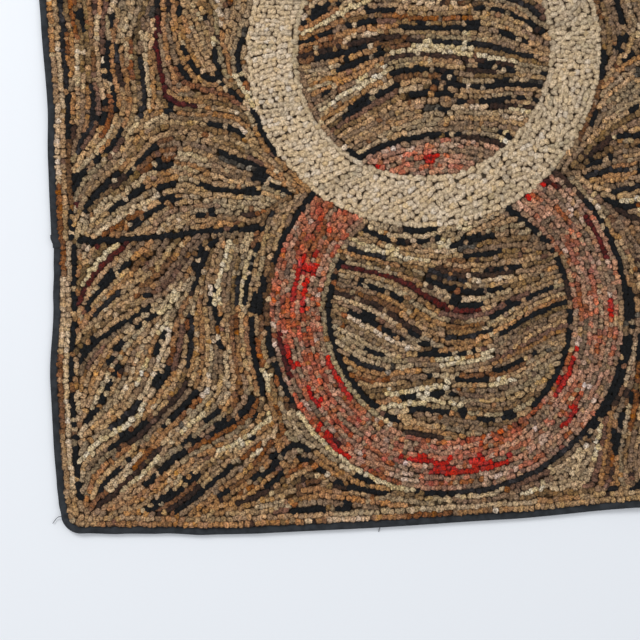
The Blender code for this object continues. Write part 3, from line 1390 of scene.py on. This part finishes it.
@dataclass(frozen=True)
class Finish:
    """What every finish has: a material with one Principled shader."""

    name: str

    def start(self) -> tuple[bpy.types.Material, bpy.types.ShaderNode]:
        """The new material and its shader."""
        material = bpy.data.materials.new(self.name)
        material.use_nodes = True
        return material, material.node_tree.nodes["Principled BSDF"]

    def placed(
        self, tree: bpy.types.NodeTree, group: bpy.types.NodeTree, values: dict[str, float]
    ) -> bpy.types.Node:
        """Places a group in a material with this finish's own values.

        Args:
            tree: The material's tree.
            group: The group.
            values: The group's inputs.

        Returns:
            The group node.
        """
        node = tree.nodes.new("ShaderNodeGroup")
        node.node_tree = group
        for label, value in values.items():
            node.inputs[label].default_value = value
        return node

    def bumped(
        self, tree: bpy.types.NodeTree, height: object, shader: bpy.types.Node, depth: float
    ) -> None:
        """Feeds a height into the shader's normal.

        Args:
            tree: The material's tree.
            height: The height's socket.
            shader: The shader.
            depth: The bump's depth in metres.
        """
        bump = tree.nodes.new("ShaderNodeBump")
        bump.inputs["Strength"].default_value = 1.0
        bump.inputs["Distance"].default_value = depth
        tree.links.new(height, bump.inputs["Height"])
        tree.links.new(bump.outputs["Normal"], shader.inputs["Normal"])


@dataclass(frozen=True)
class RagFinish(Finish):
    """Woollen rag loops, each in its own dye, with painted shade darkening their low flanks down between them."""

    fleck: float = 0.76
    sheen: float = 0.06
    depth: float = 0.0016

    def build(self, nap: bpy.types.NodeTree) -> bpy.types.Material:
        """Builds the material.

        Args:
            nap: The nap group.

        Returns:
            The material.
        """
        material, shader = self.start()
        tree = material.node_tree
        dye, crown = tree.nodes.new("ShaderNodeAttribute"), tree.nodes.new("ShaderNodeAttribute")
        dye.attribute_name, crown.attribute_name = "wool", "crown"
        fuzz = self.placed(tree, nap, {"Fleck": self.fleck, "Fleck Scale": 560, "Fibre Scale": 2300})
        tree.links.new(dye.outputs["Color"], fuzz.inputs["Colour"])
        # Painted shade: the dyed colour is multiplied towards a dark brown on each loop's low flanks, following the
        # height in the crown attribute, where shade falls between the loops.
        shade = spread(tree, crown.outputs["Fac"], 0.72, 0.98, 0.97, 0.0)
        painted_crevice_shade = multiplied(tree, shade, fuzz.outputs["Colour"], (0.14, 0.10, 0.07, 1))
        tree.links.new(painted_crevice_shade, shader.inputs["Base Color"])
        tree.links.new(fuzz.outputs["Roughness"], shader.inputs["Roughness"])
        shader.inputs["Sheen Weight"].default_value = self.sheen
        shader.inputs["Sheen Roughness"].default_value = 0.6
        shader.inputs["Specular IOR Level"].default_value = 0.12
        self.bumped(tree, fuzz.outputs["Height"], shader, self.depth)
        return material


@dataclass(frozen=True)
class WovenFinish(Finish):
    """Woven cotton or jute, in its own colour or in an attribute's."""

    colour: tuple[float, float, float] = (0.02, 0.02, 0.02)
    attribute: str = ""
    threads: float = 260.0
    slant: float = 0.75
    depth: float = 0.00012
    weave_depth: float = 0.5
    fleck: float = 0.35

    def build(self, nap: bpy.types.NodeTree, weave: bpy.types.NodeTree) -> bpy.types.Material:
        """Builds the material.

        Args:
            nap: The nap group.
            weave: The weave group.

        Returns:
            The material.
        """
        material, shader = self.start()
        tree = material.node_tree
        fuzz = self.placed(tree, nap, {"Fleck": self.fleck, "Fleck Scale": 130, "Fibre Scale": 1800})
        if self.attribute:
            dye = tree.nodes.new("ShaderNodeAttribute")
            dye.attribute_name = self.attribute
            tree.links.new(dye.outputs["Color"], fuzz.inputs["Colour"])
        else:
            fuzz.inputs["Colour"].default_value = (*self.colour, 1)
        woven = self.placed(
            tree, weave, {"Threads": self.threads, "Slant": self.slant, "Depth": self.weave_depth}
        )
        tree.links.new(fuzz.outputs["Colour"], woven.inputs["Colour"])
        tree.links.new(woven.outputs["Colour"], shader.inputs["Base Color"])
        tree.links.new(fuzz.outputs["Roughness"], shader.inputs["Roughness"])
        shader.inputs["Specular IOR Level"].default_value = 0.22
        self.bumped(tree, woven.outputs["Height"], shader, self.depth)
        return material


@dataclass(frozen=True)
class FloorFinish(Finish):
    """A plain pale floor."""

    colour: tuple[float, float, float] = (0.80, 0.83, 0.87)

    def build(self) -> bpy.types.Material:
        """The floor's material."""
        material, shader = self.start()
        shader.inputs["Base Color"].default_value = (*self.colour, 1)
        shader.inputs["Roughness"].default_value = 0.75
        return material


# ---------------------------------------------------------------- the pieces


def set_input(modifier: bpy.types.Modifier, label: str, value: object) -> None:
    """Sets a Geometry Nodes modifier's input by its socket's identifier.

    Args:
        modifier: The modifier.
        label: The input's name in the tree.
        value: Its value.
    """
    for item in modifier.node_group.interface.items_tree:
        if item.item_type == "SOCKET" and item.in_out == "INPUT" and item.name == label:
            modifier[item.identifier] = value
            return
    raise KeyError(label)


def new_object(name: str, data: bpy.types.ID) -> bpy.types.Object:
    """Puts a new object with some data into the scene, at the origin.

    Args:
        name: Its name.
        data: Its mesh, curve, light or camera.

    Returns:
        The object.
    """
    made = bpy.data.objects.new(name, data)
    bpy.context.scene.collection.objects.link(made)
    return made


def plain_mesh(name: str, worked: bpy.types.Object) -> bpy.types.Object:
    """Turns a curve, or an object with a Geometry Nodes modifier, into a plain mesh object.

    Args:
        name: The new object's name.
        worked: The curve or the object with the modifier, which is removed.

    Returns:
        The new object.
    """
    bpy.context.view_layer.update()
    graph = bpy.context.evaluated_depsgraph_get()
    mesh = bpy.data.meshes.new_from_object(worked.evaluated_get(graph), depsgraph=graph)
    source = worked.data
    bpy.data.objects.remove(worked)
    if isinstance(source, bpy.types.Curve):
        bpy.data.curves.remove(source)
    else:
        bpy.data.meshes.remove(source)
    mesh.name = name
    return new_object(name, mesh)


def forget(piece: bpy.types.Object, labels: Sequence[str]) -> None:
    """Removes attributes that a finished piece has no more use for.

    Args:
        piece: The piece.
        labels: The attributes' names.
    """
    for label in labels:
        if label in piece.data.attributes:
            piece.data.attributes.remove(piece.data.attributes[label])


def ride(piece: bpy.types.Object) -> bpy.types.Object:
    """Fixes a piece to the rug and reports it.

    Args:
        piece: The finished piece.

    Returns:
        The piece.
    """
    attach(piece, "root")
    triangles = sum(len(face.vertices) - 2 for face in piece.data.polygons)
    log.info("%s: %d triangles", piece.name, triangles)
    return piece


@dataclass
class LoopPile:
    """The pile: one rag loop instanced over the places of each part of the pattern."""

    down: SetDown
    material: bpy.types.Material
    ring_material: bpy.types.Material
    most_in_piece: int = 4200
    kinds: int = 6
    foot: float = 1.7
    fullness: float = 1.20
    unevenness: float = 0.30

    def rag_loop(self, kind: int, rng: random.Random) -> bpy.types.Object:
        """Makes one form of a rag loop, 1 in half width, half length and height.

        Args:
            kind: Which form. Every second one has a side less.
            rng: The seeded dice.

        Returns:
            A hidden object, closed and with its height in the attribute "crown".
        """
        sides = 8 - kind % 2
        bm = bmesh.new()
        crown_of = {}
        rings = []
        turn = rng.random()
        lean = (rng.uniform(-0.22, 0.22), rng.uniform(-0.22, 0.22))
        bulges = [rng.uniform(0.83, 1.14) for _ in range(sides)]
        sags = [rng.uniform(-0.22, 0.06) for _ in range(sides)]
        for reach, level in ((0.88, 0.0), (1.0, 0.77), (0.84, 0.96)):
            ring = []
            for k in range(sides):
                angle = 2 * math.pi * (k + turn) / sides
                out_x, out_y = math.cos(angle), math.sin(angle)
                full = (abs(out_x) ** 3 + abs(out_y) ** 3) ** (-1 / 3)
                radius = reach * bulges[k] * full * 0.98
                height = level + sags[k] * (level > 0.7)
                at = (radius * out_x + lean[0] * height, radius * out_y + lean[1] * height, height)
                vertex = bm.verts.new(at)
                crown_of[vertex] = height
                ring.append(vertex)
            rings.append(ring)
        tip = bm.verts.new((lean[0] + rng.uniform(-0.25, 0.25), lean[1] + rng.uniform(-0.25, 0.25), 1.0))
        crown_of[tip] = 1.0
        for low, high in zip(rings, rings[1:]):
            for k in range(sides):
                bm.faces.new((low[k], low[(k + 1) % sides], high[(k + 1) % sides], high[k]))
        for k in range(sides):
            bm.faces.new((rings[-1][k], rings[-1][(k + 1) % sides], tip))
        bm.faces.new(rings[0][::-1])
        heights = [crown_of[vertex] for vertex in bm.verts]
        for face in bm.faces:
            face.smooth = tip not in face.verts
        mesh = bpy.data.meshes.new(f"rag_loop_{kind}")
        bm.to_mesh(mesh)
        bm.free()
        mesh.attributes.new("crown", "FLOAT", "POINT").data.foreach_set("value", heights)
        form = new_object(f"rag_loop_{kind}", mesh)
        form.hide_render = True
        return form

    def hooking_tree(self, forms: Sequence[bpy.types.Object]) -> bpy.types.NodeTree:
        """Builds the Geometry Nodes tree that sets a rag loop on every point.

        Args:
            forms: The forms to pick from.

        Returns:
            The tree.
        """
        tree = bpy.data.node_groups.new("hook_loops", "GeometryNodeTree")
        face = tree.interface
        face.new_socket(name="Geometry", in_out="INPUT", socket_type="NodeSocketGeometry")
        for label, kind in (
            ("Fullness", "NodeSocketFloat"), ("Unevenness", "NodeSocketFloat"), ("Seed", "NodeSocketInt"),
            ("Finish", "NodeSocketMaterial"),
        ):
            face.new_socket(name=label, in_out="INPUT", socket_type=kind)
        face.new_socket(name="Geometry", in_out="OUTPUT", socket_type="NodeSocketGeometry")
        nodes, links = tree.nodes, tree.links
        given, made = nodes.new("NodeGroupInput"), nodes.new("NodeGroupOutput")

        def attribute(name: str, kind: str) -> object:
            """A named attribute's socket.

            Args:
                name: The attribute.
                kind: Its data type.

            Returns:
                The socket.
            """
            node = nodes.new("GeometryNodeInputNamedAttribute")
            node.data_type = kind
            node.inputs["Name"].default_value = name
            return node.outputs["Attribute"]

        def vector(operation: str, first: object, second: object) -> object:
            """A vector sum or scaling.

            Args:
                operation: ADD or SCALE.
                first: The vector's socket.
                second: The other vector's socket, or the scale's.

            Returns:
                The socket.
            """
            node = nodes.new("ShaderNodeVectorMath")
            node.operation = operation
            links.new(first, node.inputs[0])
            links.new(second, node.inputs["Scale" if operation == "SCALE" else 1])
            return node.outputs["Vector"]

        shapes = nodes.new("GeometryNodeJoinGeometry")
        for form in forms:
            info = nodes.new("GeometryNodeObjectInfo")
            info.inputs["Object"].default_value = form
            info.inputs["As Instance"].default_value = True
            links.new(info.outputs["Geometry"], shapes.inputs["Geometry"])
        loose = nodes.new("FunctionNodeRandomValue")
        loose.data_type = "FLOAT_VECTOR"
        loose.inputs["Min"].default_value = (-0.5, -0.5, -1.6)
        loose.inputs["Max"].default_value = (0.5, 0.5, 1.6)
        links.new(given.outputs["Seed"], loose.inputs["Seed"])
        askew = vector("SCALE", loose.outputs["Value"], given.outputs["Unevenness"])
        turned = vector("ADD", attribute("turn", "FLOAT_VECTOR"), askew)
        sized = vector("SCALE", attribute("size", "FLOAT_VECTOR"), given.outputs["Fullness"])
        hooked = nodes.new("GeometryNodeInstanceOnPoints")
        hooked.inputs["Pick Instance"].default_value = True
        links.new(given.outputs["Geometry"], hooked.inputs["Points"])
        links.new(shapes.outputs["Geometry"], hooked.inputs["Instance"])
        links.new(attribute("kind", "INT"), hooked.inputs["Instance Index"])
        links.new(turned, hooked.inputs["Rotation"])
        links.new(sized, hooked.inputs["Scale"])
        real, dressed = nodes.new("GeometryNodeRealizeInstances"), nodes.new("GeometryNodeSetMaterial")
        links.new(hooked.outputs["Instances"], real.inputs["Geometry"])
        links.new(real.outputs["Geometry"], dressed.inputs["Geometry"])
        links.new(given.outputs["Finish"], dressed.inputs["Material"])
        links.new(dressed.outputs["Geometry"], made.inputs["Geometry"])
        return tree

    def hook(
        self, name: str, loops: Sequence[Loop], tree: bpy.types.NodeTree, rng: random.Random
    ) -> bpy.types.Object:
        """Hooks the loops of one piece.

        Args:
            name: The piece's name.
            loops: Its loops.
            tree: The hooking tree.
            rng: The seeded dice.

        Returns:
            The piece, a plain mesh.
        """
        plan = self.down.plan
        places, turns, sizes, kinds, colours = [], [], [], [], []
        for loop in loops:
            foot = self.foot + plan.under_at(plan.inset_at(loop.x, loop.y)) * 0.4
            top = plan.top_at(loop.x, loop.y) + rng.triangular(-1.1, 0.35, -0.1)
            places += self.down(loop.x, loop.y, foot)
            turns += (0.0, 0.0, loop.heading)
            stretch = math.exp(rng.gauss(0, 0.13))
            sizes += (loop.along * stretch * MM, loop.across / stretch**0.6 * MM, (top - foot) * MM)
            kinds.append(rng.randrange(self.kinds))
            colours += (*loop.colour, 1.0)
        mesh = bpy.data.meshes.new(name)
        mesh.vertices.add(len(loops))
        mesh.vertices.foreach_set("co", places)
        for label, kind, slot, values in (
            ("turn", "FLOAT_VECTOR", "vector", turns), ("size", "FLOAT_VECTOR", "vector", sizes),
            ("kind", "INT", "value", kinds), ("wool", "FLOAT_COLOR", "color", colours),
        ):
            mesh.attributes.new(label, kind, "POINT").data.foreach_set(slot, values)
        worked = new_object(name + "_points", mesh)
        modifier = worked.modifiers.new("hook_loops", "NODES")
        modifier.node_group = tree
        for label, value in (
            ("Fullness", self.fullness), ("Unevenness", self.unevenness), ("Seed", BLOCK_SEED),
            ("Finish", self.ring_material if loops[0].area is Area.CREAM_RING else self.material),
        ):
            set_input(modifier, label, value)
        piece = plain_mesh(name, worked)
        forget(piece, ("turn", "size", "kind"))
        return piece

    def build(self, loops: Sequence[Loop], rng: random.Random) -> list[bpy.types.Object]:
        """Hooks every part of the pattern as one piece, the ground as a piece for each quarter.

        Args:
            loops: All the loops.
            rng: The seeded dice.

        Returns:
            The pieces.
        """
        parts: dict[str, list[Loop]] = defaultdict(list)
        for loop in loops:
            name = loop.area.value
            if loop.area is Area.GROUND:
                name += ("_lower" if loop.y < 0 else "_upper") + ("_left" if loop.x < 0 else "_right")
            parts[name].append(loop)
        forms = [self.rag_loop(kind, rng) for kind in range(self.kinds)]
        tree = self.hooking_tree(forms)
        pieces = []
        for name in sorted(parts):
            part = parts[name]
            shares = -(-len(part) // self.most_in_piece)
            for share in range(shares):
                label = f"{name}_loops" + (f"_{share + 1}" if shares > 1 else "")
                pieces.append(ride(self.hook(label, part[share::shares], tree, rng)))
        bpy.data.node_groups.remove(tree)
        for form in forms:
            mesh = form.data
            bpy.data.objects.remove(form)
            bpy.data.meshes.remove(mesh)
        return pieces


@dataclass
class BurlapGround:
    """The burlap that the loops are hooked through, with its bare hem, showing their backs underneath and painted
    shade between them on top.
    """

    down: SetDown
    material: bpy.types.Material
    pitch: float = 8.0
    thick: float = 2.2
    burlap: tuple[float, float, float] = (0.30, 0.20, 0.11)

    def lines(self, span: float) -> list[float]:
        """The grid's lines across one direction.

        Args:
            span: The rug's size in that direction, in mm.

        Returns:
            The lines in order, from hem edge to hem edge.
        """
        plan = self.down.plan
        insets = [plan.hem_edge, plan.hem_edge + 0.9, plan.pile_foot, 12.0, 15.2, 18.6, plan.corner]
        reach = span / 2 - plan.corner
        count = round(2 * reach / self.pitch)
        middle = [-reach + 2 * reach * k / count for k in range(1, count)]
        return [i - span / 2 for i in insets] + middle + [span / 2 - i for i in reversed(insets)]

    def build(self, loops: Sequence[Loop], tree: KDTree) -> bpy.types.Object:
        """Builds the closed cloth.

        Args:
            loops: The loops, whose wool shows on the underside and, darkened into painted shade, between them on the
                top.
            tree: The search tree of their places.

        Returns:
            The burlap.
        """
        plan = self.down.plan
        across, along = self.lines(plan.width), self.lines(plan.length)
        columns, rows = len(across), len(along)
        bm = bmesh.new()
        dyes_and_painted_shade: list[tuple[float, ...]] = []
        layers = []
        for is_top in (True, False):
            layer = []
            for flat_x in across:
                for flat_y in along:
                    inset = min(plan.width / 2 - abs(flat_x), plan.length / 2 - abs(flat_y))
                    x, y = plan.round_corner(flat_x, flat_y)
                    under = plan.under_at(inset)
                    z = under + self.thick if is_top else under
                    if inset < plan.hem_edge + 0.4:
                        z += -0.6 if is_top else 0.3
                    layer.append(bm.verts.new(self.down(x, y, z)))
                    colour = self.burlap
                    if inset > plan.pile_foot:
                        _, near, _ = tree.find((x, y, 0))
                        # Painted shade on the top: the nearest loop's wool is darkened there to stand for the shade
                        # between the loops. On the underside its colour stands for the loops' backs.
                        share = 0.45 if is_top else 0.72
                        colour = tuple(
                            a * share + b * (0.10 if is_top else 0.28)
                            for a, b in zip(loops[near].colour, self.burlap)
                        )
                    dyes_and_painted_shade.append((*colour, 1.0))
            layers.append(layer)
        top, low = layers
        for i in range(columns - 1):
            for j in range(rows - 1):
                a, b, c, d = i * rows + j, (i + 1) * rows + j, (i + 1) * rows + j + 1, i * rows + j + 1
                bm.faces.new((top[a], top[b], top[c], top[d]))
                bm.faces.new((low[d], low[c], low[b], low[a]))
        rim = [i * rows for i in range(columns)]
        rim += [(columns - 1) * rows + j for j in range(1, rows)]
        rim += [i * rows + rows - 1 for i in range(columns - 2, -1, -1)]
        rim += list(range(rows - 2, 0, -1))
        for here, there in zip(rim, rim[1:] + rim[:1]):
            bm.faces.new((top[there], top[here], low[here], low[there]))
        for face in bm.faces:
            face.smooth = True
        layout = bm.loops.layers.uv.new("UVMap")
        for face in bm.faces:
            for corner in face.loops:
                corner[layout].uv = (corner.vert.co.x, corner.vert.co.y)
        mesh = bpy.data.meshes.new("burlap_ground")
        bm.to_mesh(mesh)
        bm.free()
        # The wool attribute here holds the loops' colours and the burlap's own, with painted shade on the top.
        mesh.attributes.new("wool", "FLOAT_COLOR", "POINT").data.foreach_set(
            "color", [part for dye in dyes_and_painted_shade for part in dye]
        )
        mesh.materials.append(self.material)
        piece = new_object("burlap_ground", mesh)
        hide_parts("hooked_field")
        return ride(piece)


@dataclass
class BindingTape:
    """The cotton tape folded over the hem, with its lapped end, its stitches and loose threads."""

    down: SetDown
    material: bpy.types.Material
    pitch: float = 3.4
    thick: float = 0.8
    face: float = 8.4
    under: float = 14.0
    face_top: float = 4.6
    join_gap: float = 0.5
    stitch_pitch: float = 6.5

    def section(self) -> list[tuple[float, float, float]]:
        """The folded tape's section.

        Returns:
            Points from the under fold's free edge round and back: inset, height and the tape's width.
        """
        top, thick, under, face = self.face_top, self.thick, self.under, self.face
        low = top - thick
        return [
            (under, 0.0, 0.0), (7.0, 0.0, 7.0), (0.9, 0.0, 13.1), (0.25, 0.25, 13.9), (0.0, 0.9, 14.6),
            (0.0, top - 1.0, 17.3), (0.28, top - 0.28, 18.3), (1.0, top, 19.0), (3.6, top + 0.12, 21.6),
            (6.2, top + 0.1, 24.2), (face - 0.2, top, 26.2), (face, top - 0.25, 26.5), (face, low, 27.0),
            (4.6, low + 0.1, 30.4), (thick + 0.4, low, 33.8), (thick, low - 0.4, 34.3),
            (thick, thick + 0.4, 36.5), (thick + 0.4, thick, 37.0), (under, thick, 49.0),
        ]

    def pucker(self, reach: float, inset: float, height: float) -> tuple[float, float]:
        """How the sewn tape puckers at a place.

        Args:
            reach: The distance along the tape, in mm.
            inset: The place's inset.
            height: The place's height.

        Returns:
            The inset and the height with the puckers.
        """
        if height < self.thick + 0.1:
            return inset, height
        wander = 0.30 * math.sin(reach / 21.0) + 0.22 * math.sin(reach / 8.3 + 1.0)
        wander += 0.12 * math.sin(reach / 3.9)
        share = smooth_step(inset / self.face)
        swell = 0.16 * math.sin(reach / 12.7 + 2.0) + 0.10 * math.sin(reach / 5.1)
        return inset + wander * share * 0.8, height + swell * smooth_step((height - 2.5) / 1.5) * 0.7

    def sweep(
        self, name: str, places: Sequence[tuple[float, float, float, float]],
        section: Sequence[tuple[float, float, float]],
    ) -> bpy.types.Object:
        """Runs a closed section along places of the outline.

        Args:
            name: The piece's name.
            places: Each place and the way inwards.
            section: The section's points: inset, height and width.

        Returns:
            The closed tape.
        """
        bm = bmesh.new()
        layout = bm.loops.layers.uv.new("UVMap")
        rings, reach = [], 0.0
        reaches = []
        for number, (x, y, in_x, in_y) in enumerate(places):
            if number:
                reach += math.dist((x, y), places[number - 1][:2])
            reaches.append(reach)
            ring = []
            for inset, height, _ in section:
                at, z = self.pucker(reach, inset, height)
                ring.append(bm.verts.new(self.down(x + in_x * at, y + in_y * at, z)))
            rings.append(ring)
        count = len(section)
        widths = [width for _, _, width in section] + [section[-1][2] + 1.0]
        for k in range(len(rings) - 1):
            for m in range(count):
                n = (m + 1) % count
                face = bm.faces.new((rings[k][m], rings[k][n], rings[k + 1][n], rings[k + 1][m]))
                face.smooth = True
                for corner, (v, u) in zip(
                    face.loops,
                    ((widths[m], reaches[k]), (widths[m + 1], reaches[k]), (widths[m + 1], reaches[k + 1]),
                     (widths[m], reaches[k + 1])),
                ):
                    corner[layout].uv = (u * MM, v * MM)
        for ring in (rings[0], rings[-1]):
            bm.faces.new(ring)
        bmesh.ops.recalc_face_normals(bm, faces=bm.faces)
        mesh = bpy.data.meshes.new(name)
        bm.to_mesh(mesh)
        bm.free()
        mesh.set_sharp_from_angle(angle=math.radians(60))
        mesh.materials.append(self.material)
        return new_object(name, mesh)

    def lapped_end(self) -> bpy.types.Object:
        """The tape's last end, lapped over its first one on the left edge.

        Returns:
            The short lap.
        """
        plan, top, thick = self.down.plan, self.face_top, self.thick
        places = [(-plan.width / 2, plan.tape_join + k * 1.8 - 7.2, 1.0, 0.0) for k in range(9)]
        section = [
            (-0.95, 0.9, 0.0), (-0.95, top - 0.3, 3.0), (-0.5, top + 0.55, 4.0), (0.5, top + 0.95, 5.0),
            (self.face * 0.5, top + 1.05, 9.0), (self.face, top + 0.9, 13.0), (self.face, top + 0.15, 14.0),
            (self.face * 0.5, top + 1.05 - thick, 18.0), (0.7, top + 0.15, 22.0), (-0.1, top - 0.2, 23.0),
            (-0.15, 0.9, 26.0),
        ]
        return self.sweep("tape_lap", places, section)

    def threads(self) -> bpy.types.Object:
        """The loose threads at the tape's edge: one at the lower left corner and a short one at the bottom.

        Returns:
            The threads, one mesh.
        """
        plan = self.down.plan
        curve = bpy.data.curves.new("loose_threads", "CURVE")
        curve.dimensions = "3D"
        curve.bevel_depth = 0.35 * MM
        curve.bevel_resolution = 2
        curve.use_fill_caps = True
        left, bottom = -plan.width / 2, -plan.length / 2
        routes = (
            (
                (left + 4, bottom + 20, 4.4), (left - 0.5, bottom + 20.5, 4.4), (left - 3.5, bottom + 20, 1.6),
                (left - 7, bottom + 17, 0.5), (left - 10, bottom + 12.5, 0.45),
            ),
            (
                (-80.0, bottom + 2, 4.6), (-80.5, bottom, 3.4), (-81.5, bottom - 2.5, 0.8),
                (-82.0, bottom - 5, 0.45),
            ),
        )
        for route in routes:
            spline = curve.splines.new("NURBS")
            spline.points.add(len(route) - 1)
            for point, (x, y, z) in zip(spline.points, route):
                point.co = (*self.down(x, y, z), 1)
            spline.use_endpoint_u = True
            spline.order_u = 3
            spline.resolution_u = 4
        piece = plain_mesh("loose_threads", new_object("loose_threads_route", curve))
        piece.data.shade_smooth()
        piece.data.materials.clear()
        piece.data.materials.append(self.material)
        return piece

    def stitches(self) -> bpy.types.Object:
        """The small hemming stitches that hold the tape's edge down beside the pile.

        Returns:
            The stitches, one mesh.
        """
        plan = self.down.plan
        mesh = bpy.data.meshes.new("tape_stitches")
        places, turns = [], []
        for x, y, in_x, in_y in plan.outline(0.0, self.stitch_pitch)[:-1]:
            reach = self.face - 0.7
            places += self.down(x + in_x * reach, y + in_y * reach, self.face_top + 0.05)
            turns += (0.0, 0.0, math.atan2(in_y, in_x) + 0.5)
        mesh.vertices.add(len(places) // 3)
        mesh.vertices.foreach_set("co", places)
        mesh.attributes.new("turn", "FLOAT_VECTOR", "POINT").data.foreach_set("vector", turns)
        worked = new_object("tape_stitches_points", mesh)
        tree = bpy.data.node_groups.new("sew_stitches", "GeometryNodeTree")
        for label, kind in (
            ("Geometry", "NodeSocketGeometry"), ("Length", "NodeSocketFloat"),
            ("Thickness", "NodeSocketFloat"), ("Finish", "NodeSocketMaterial"),
        ):
            tree.interface.new_socket(name=label, in_out="INPUT", socket_type=kind)
        tree.interface.new_socket(name="Geometry", in_out="OUTPUT", socket_type="NodeSocketGeometry")
        nodes, links = tree.nodes, tree.links
        given, made = nodes.new("NodeGroupInput"), nodes.new("NodeGroupOutput")
        stitch, shape = nodes.new("GeometryNodeMeshUVSphere"), nodes.new("ShaderNodeCombineXYZ")
        stitch.inputs["Segments"].default_value = 5
        stitch.inputs["Rings"].default_value = 3
        stitch.inputs["Radius"].default_value = 0.5
        turn = nodes.new("GeometryNodeInputNamedAttribute")
        turn.data_type = "FLOAT_VECTOR"
        turn.inputs["Name"].default_value = "turn"
        sewn = nodes.new("GeometryNodeInstanceOnPoints")
        links.new(given.outputs["Length"], shape.inputs["X"])
        links.new(given.outputs["Thickness"], shape.inputs["Y"])
        links.new(given.outputs["Thickness"], shape.inputs["Z"])
        links.new(given.outputs["Geometry"], sewn.inputs["Points"])
        links.new(stitch.outputs["Mesh"], sewn.inputs["Instance"])
        links.new(turn.outputs["Attribute"], sewn.inputs["Rotation"])
        links.new(shape.outputs["Vector"], sewn.inputs["Scale"])
        real, dressed = nodes.new("GeometryNodeRealizeInstances"), nodes.new("GeometryNodeSetMaterial")
        links.new(sewn.outputs["Instances"], real.inputs["Geometry"])
        links.new(real.outputs["Geometry"], dressed.inputs["Geometry"])
        links.new(given.outputs["Finish"], dressed.inputs["Material"])
        links.new(dressed.outputs["Geometry"], made.inputs["Geometry"])
        modifier = worked.modifiers.new("sew_stitches", "NODES")
        modifier.node_group = tree
        for label, value in (("Length", 2.6 * MM), ("Thickness", 0.5 * MM), ("Finish", self.material)):
            set_input(modifier, label, value)
        piece = plain_mesh("tape_stitches", worked)
        forget(piece, ("turn",))
        bpy.data.node_groups.remove(tree)
        return piece

    def build(self) -> list[bpy.types.Object]:
        """Builds the tape and what is sewn or hangs from it.

        Returns:
            The tape first, then its lap, stitches and threads.
        """
        plan = self.down.plan
        places = plan.outline(0.0, self.pitch)
        first, last = places[0], places[-1]
        half_gap = self.join_gap / 2
        places[0] = (first[0], first[1] + half_gap, first[2], first[3])
        places[-1] = (last[0], last[1] - half_gap, last[2], last[3])
        tape = self.sweep("folded_tape", places, self.section())
        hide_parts("binding_tape")
        pieces = [tape, self.lapped_end(), self.stitches(), self.threads()]
        return [ride(piece) for piece in pieces]


@dataclass
class Studio:
    """The pale floor, the soft light and the camera straight above."""

    down: SetDown
    centre_x: float = -134.3
    centre_y: float = -143.6
    span: float = 704.0
    turn: float = -3.0
    height: float = 2.6
    floor_gap: float = 0.0002
    sky_strength: float = 0.64
    film_width: float = 36.0

    def build(self, floor_material: bpy.types.Material) -> None:
        """Builds the studio.

        Args:
            floor_material: The floor's finish.
        """
        scene = bpy.context.scene
        bm = bmesh.new()
        bmesh.ops.create_grid(bm, x_segments=1, y_segments=1, size=6.0)
        mesh = bpy.data.meshes.new("floor")
        bm.to_mesh(mesh)
        bm.free()
        mesh.materials.append(floor_material)
        floor = new_object("floor", mesh)
        floor.location.z = -self.floor_gap
        world = bpy.data.worlds.new("studio")
        world.use_nodes = True
        sky = world.node_tree.nodes["Background"]
        sky.inputs["Color"].default_value = (0.97, 0.98, 1.0, 1)
        sky.inputs["Strength"].default_value = self.sky_strength
        scene.world = world
        for name, place, size, power in (
            ("window_light", (-1.8, 1.7, 2.1), 1.2, 56.0), ("fill_light", (1.8, -1.2, 2.4), 2.5, 14.0)
        ):
            lamp = bpy.data.lights.new(name, "AREA")
            lamp.energy, lamp.size = power, size
            light = new_object(name, lamp)
            light.location = place
            light.rotation_mode = "QUATERNION"
            light.rotation_quaternion = (-Vector(place)).to_track_quat("-Z", "Y")
        lens = bpy.data.cameras.new("overhead")
        lens.sensor_width = self.film_width
        lens.lens = self.film_width * self.height / (self.span * MM)
        camera = new_object("overhead", lens)
        aim_x = (self.centre_x - self.down.centre[0]) * MM
        aim_y = (self.centre_y - self.down.centre[1]) * MM
        camera.location = (aim_x, aim_y, self.height)
        camera.rotation_euler = Euler((0, 0, math.radians(self.turn)))
        scene.camera = camera
        scene.view_settings.view_transform = "Standard"


def main() -> None:
    """Loads the frame, hooks the rug, binds it and lights it."""
    logging.basicConfig(level=logging.INFO, format="%(name)s: %(message)s")
    for old in list(bpy.data.objects):
        bpy.data.objects.remove(old)
    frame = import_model()
    log.info("frame: %s", ", ".join(sorted(frame["nodes"])))
    rng = random.Random(BLOCK_SEED)
    plan = RugPlan()
    down = SetDown(plan)
    pattern = Pattern(plan)
    hooker = RowHooker(pattern)
    hooker.draw_pattern()
    hooker.fill(rng)
    layer = LoopLayer(pattern)
    layer.place(hooker.rows)
    layer.ease(rng)
    layer.size()
    layer.dye(hooker.rows, rng)
    layer.double_streaks(hooker.rows, rng)
    layer.mix_in_odd_loops(rng)
    log.info("rows: %d, loops: %d", len(hooker.rows), len(layer.loops))
    nap, weave = nap_group(), weave_group()
    rag = RagFinish("rag_wool").build(nap)
    ring_rag = RagFinish("ring_wool", fleck=0.38, depth=0.0008).build(nap)
    jute = WovenFinish("burlap", attribute="wool", threads=190, slant=0.0, depth=0.0003).build(nap, weave)
    cotton = WovenFinish("tape_cotton", colour=(0.026, 0.029, 0.033)).build(nap, weave)
    pile = LoopPile(down, rag, ring_rag).build(layer.loops, rng)
    ground = BurlapGround(down, jute).build(layer.loops, layer.tree())
    tape = BindingTape(down, cotton).build()
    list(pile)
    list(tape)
    Studio(down).build(FloorFinish("floor").build())


if __name__ == "__main__":
    main()
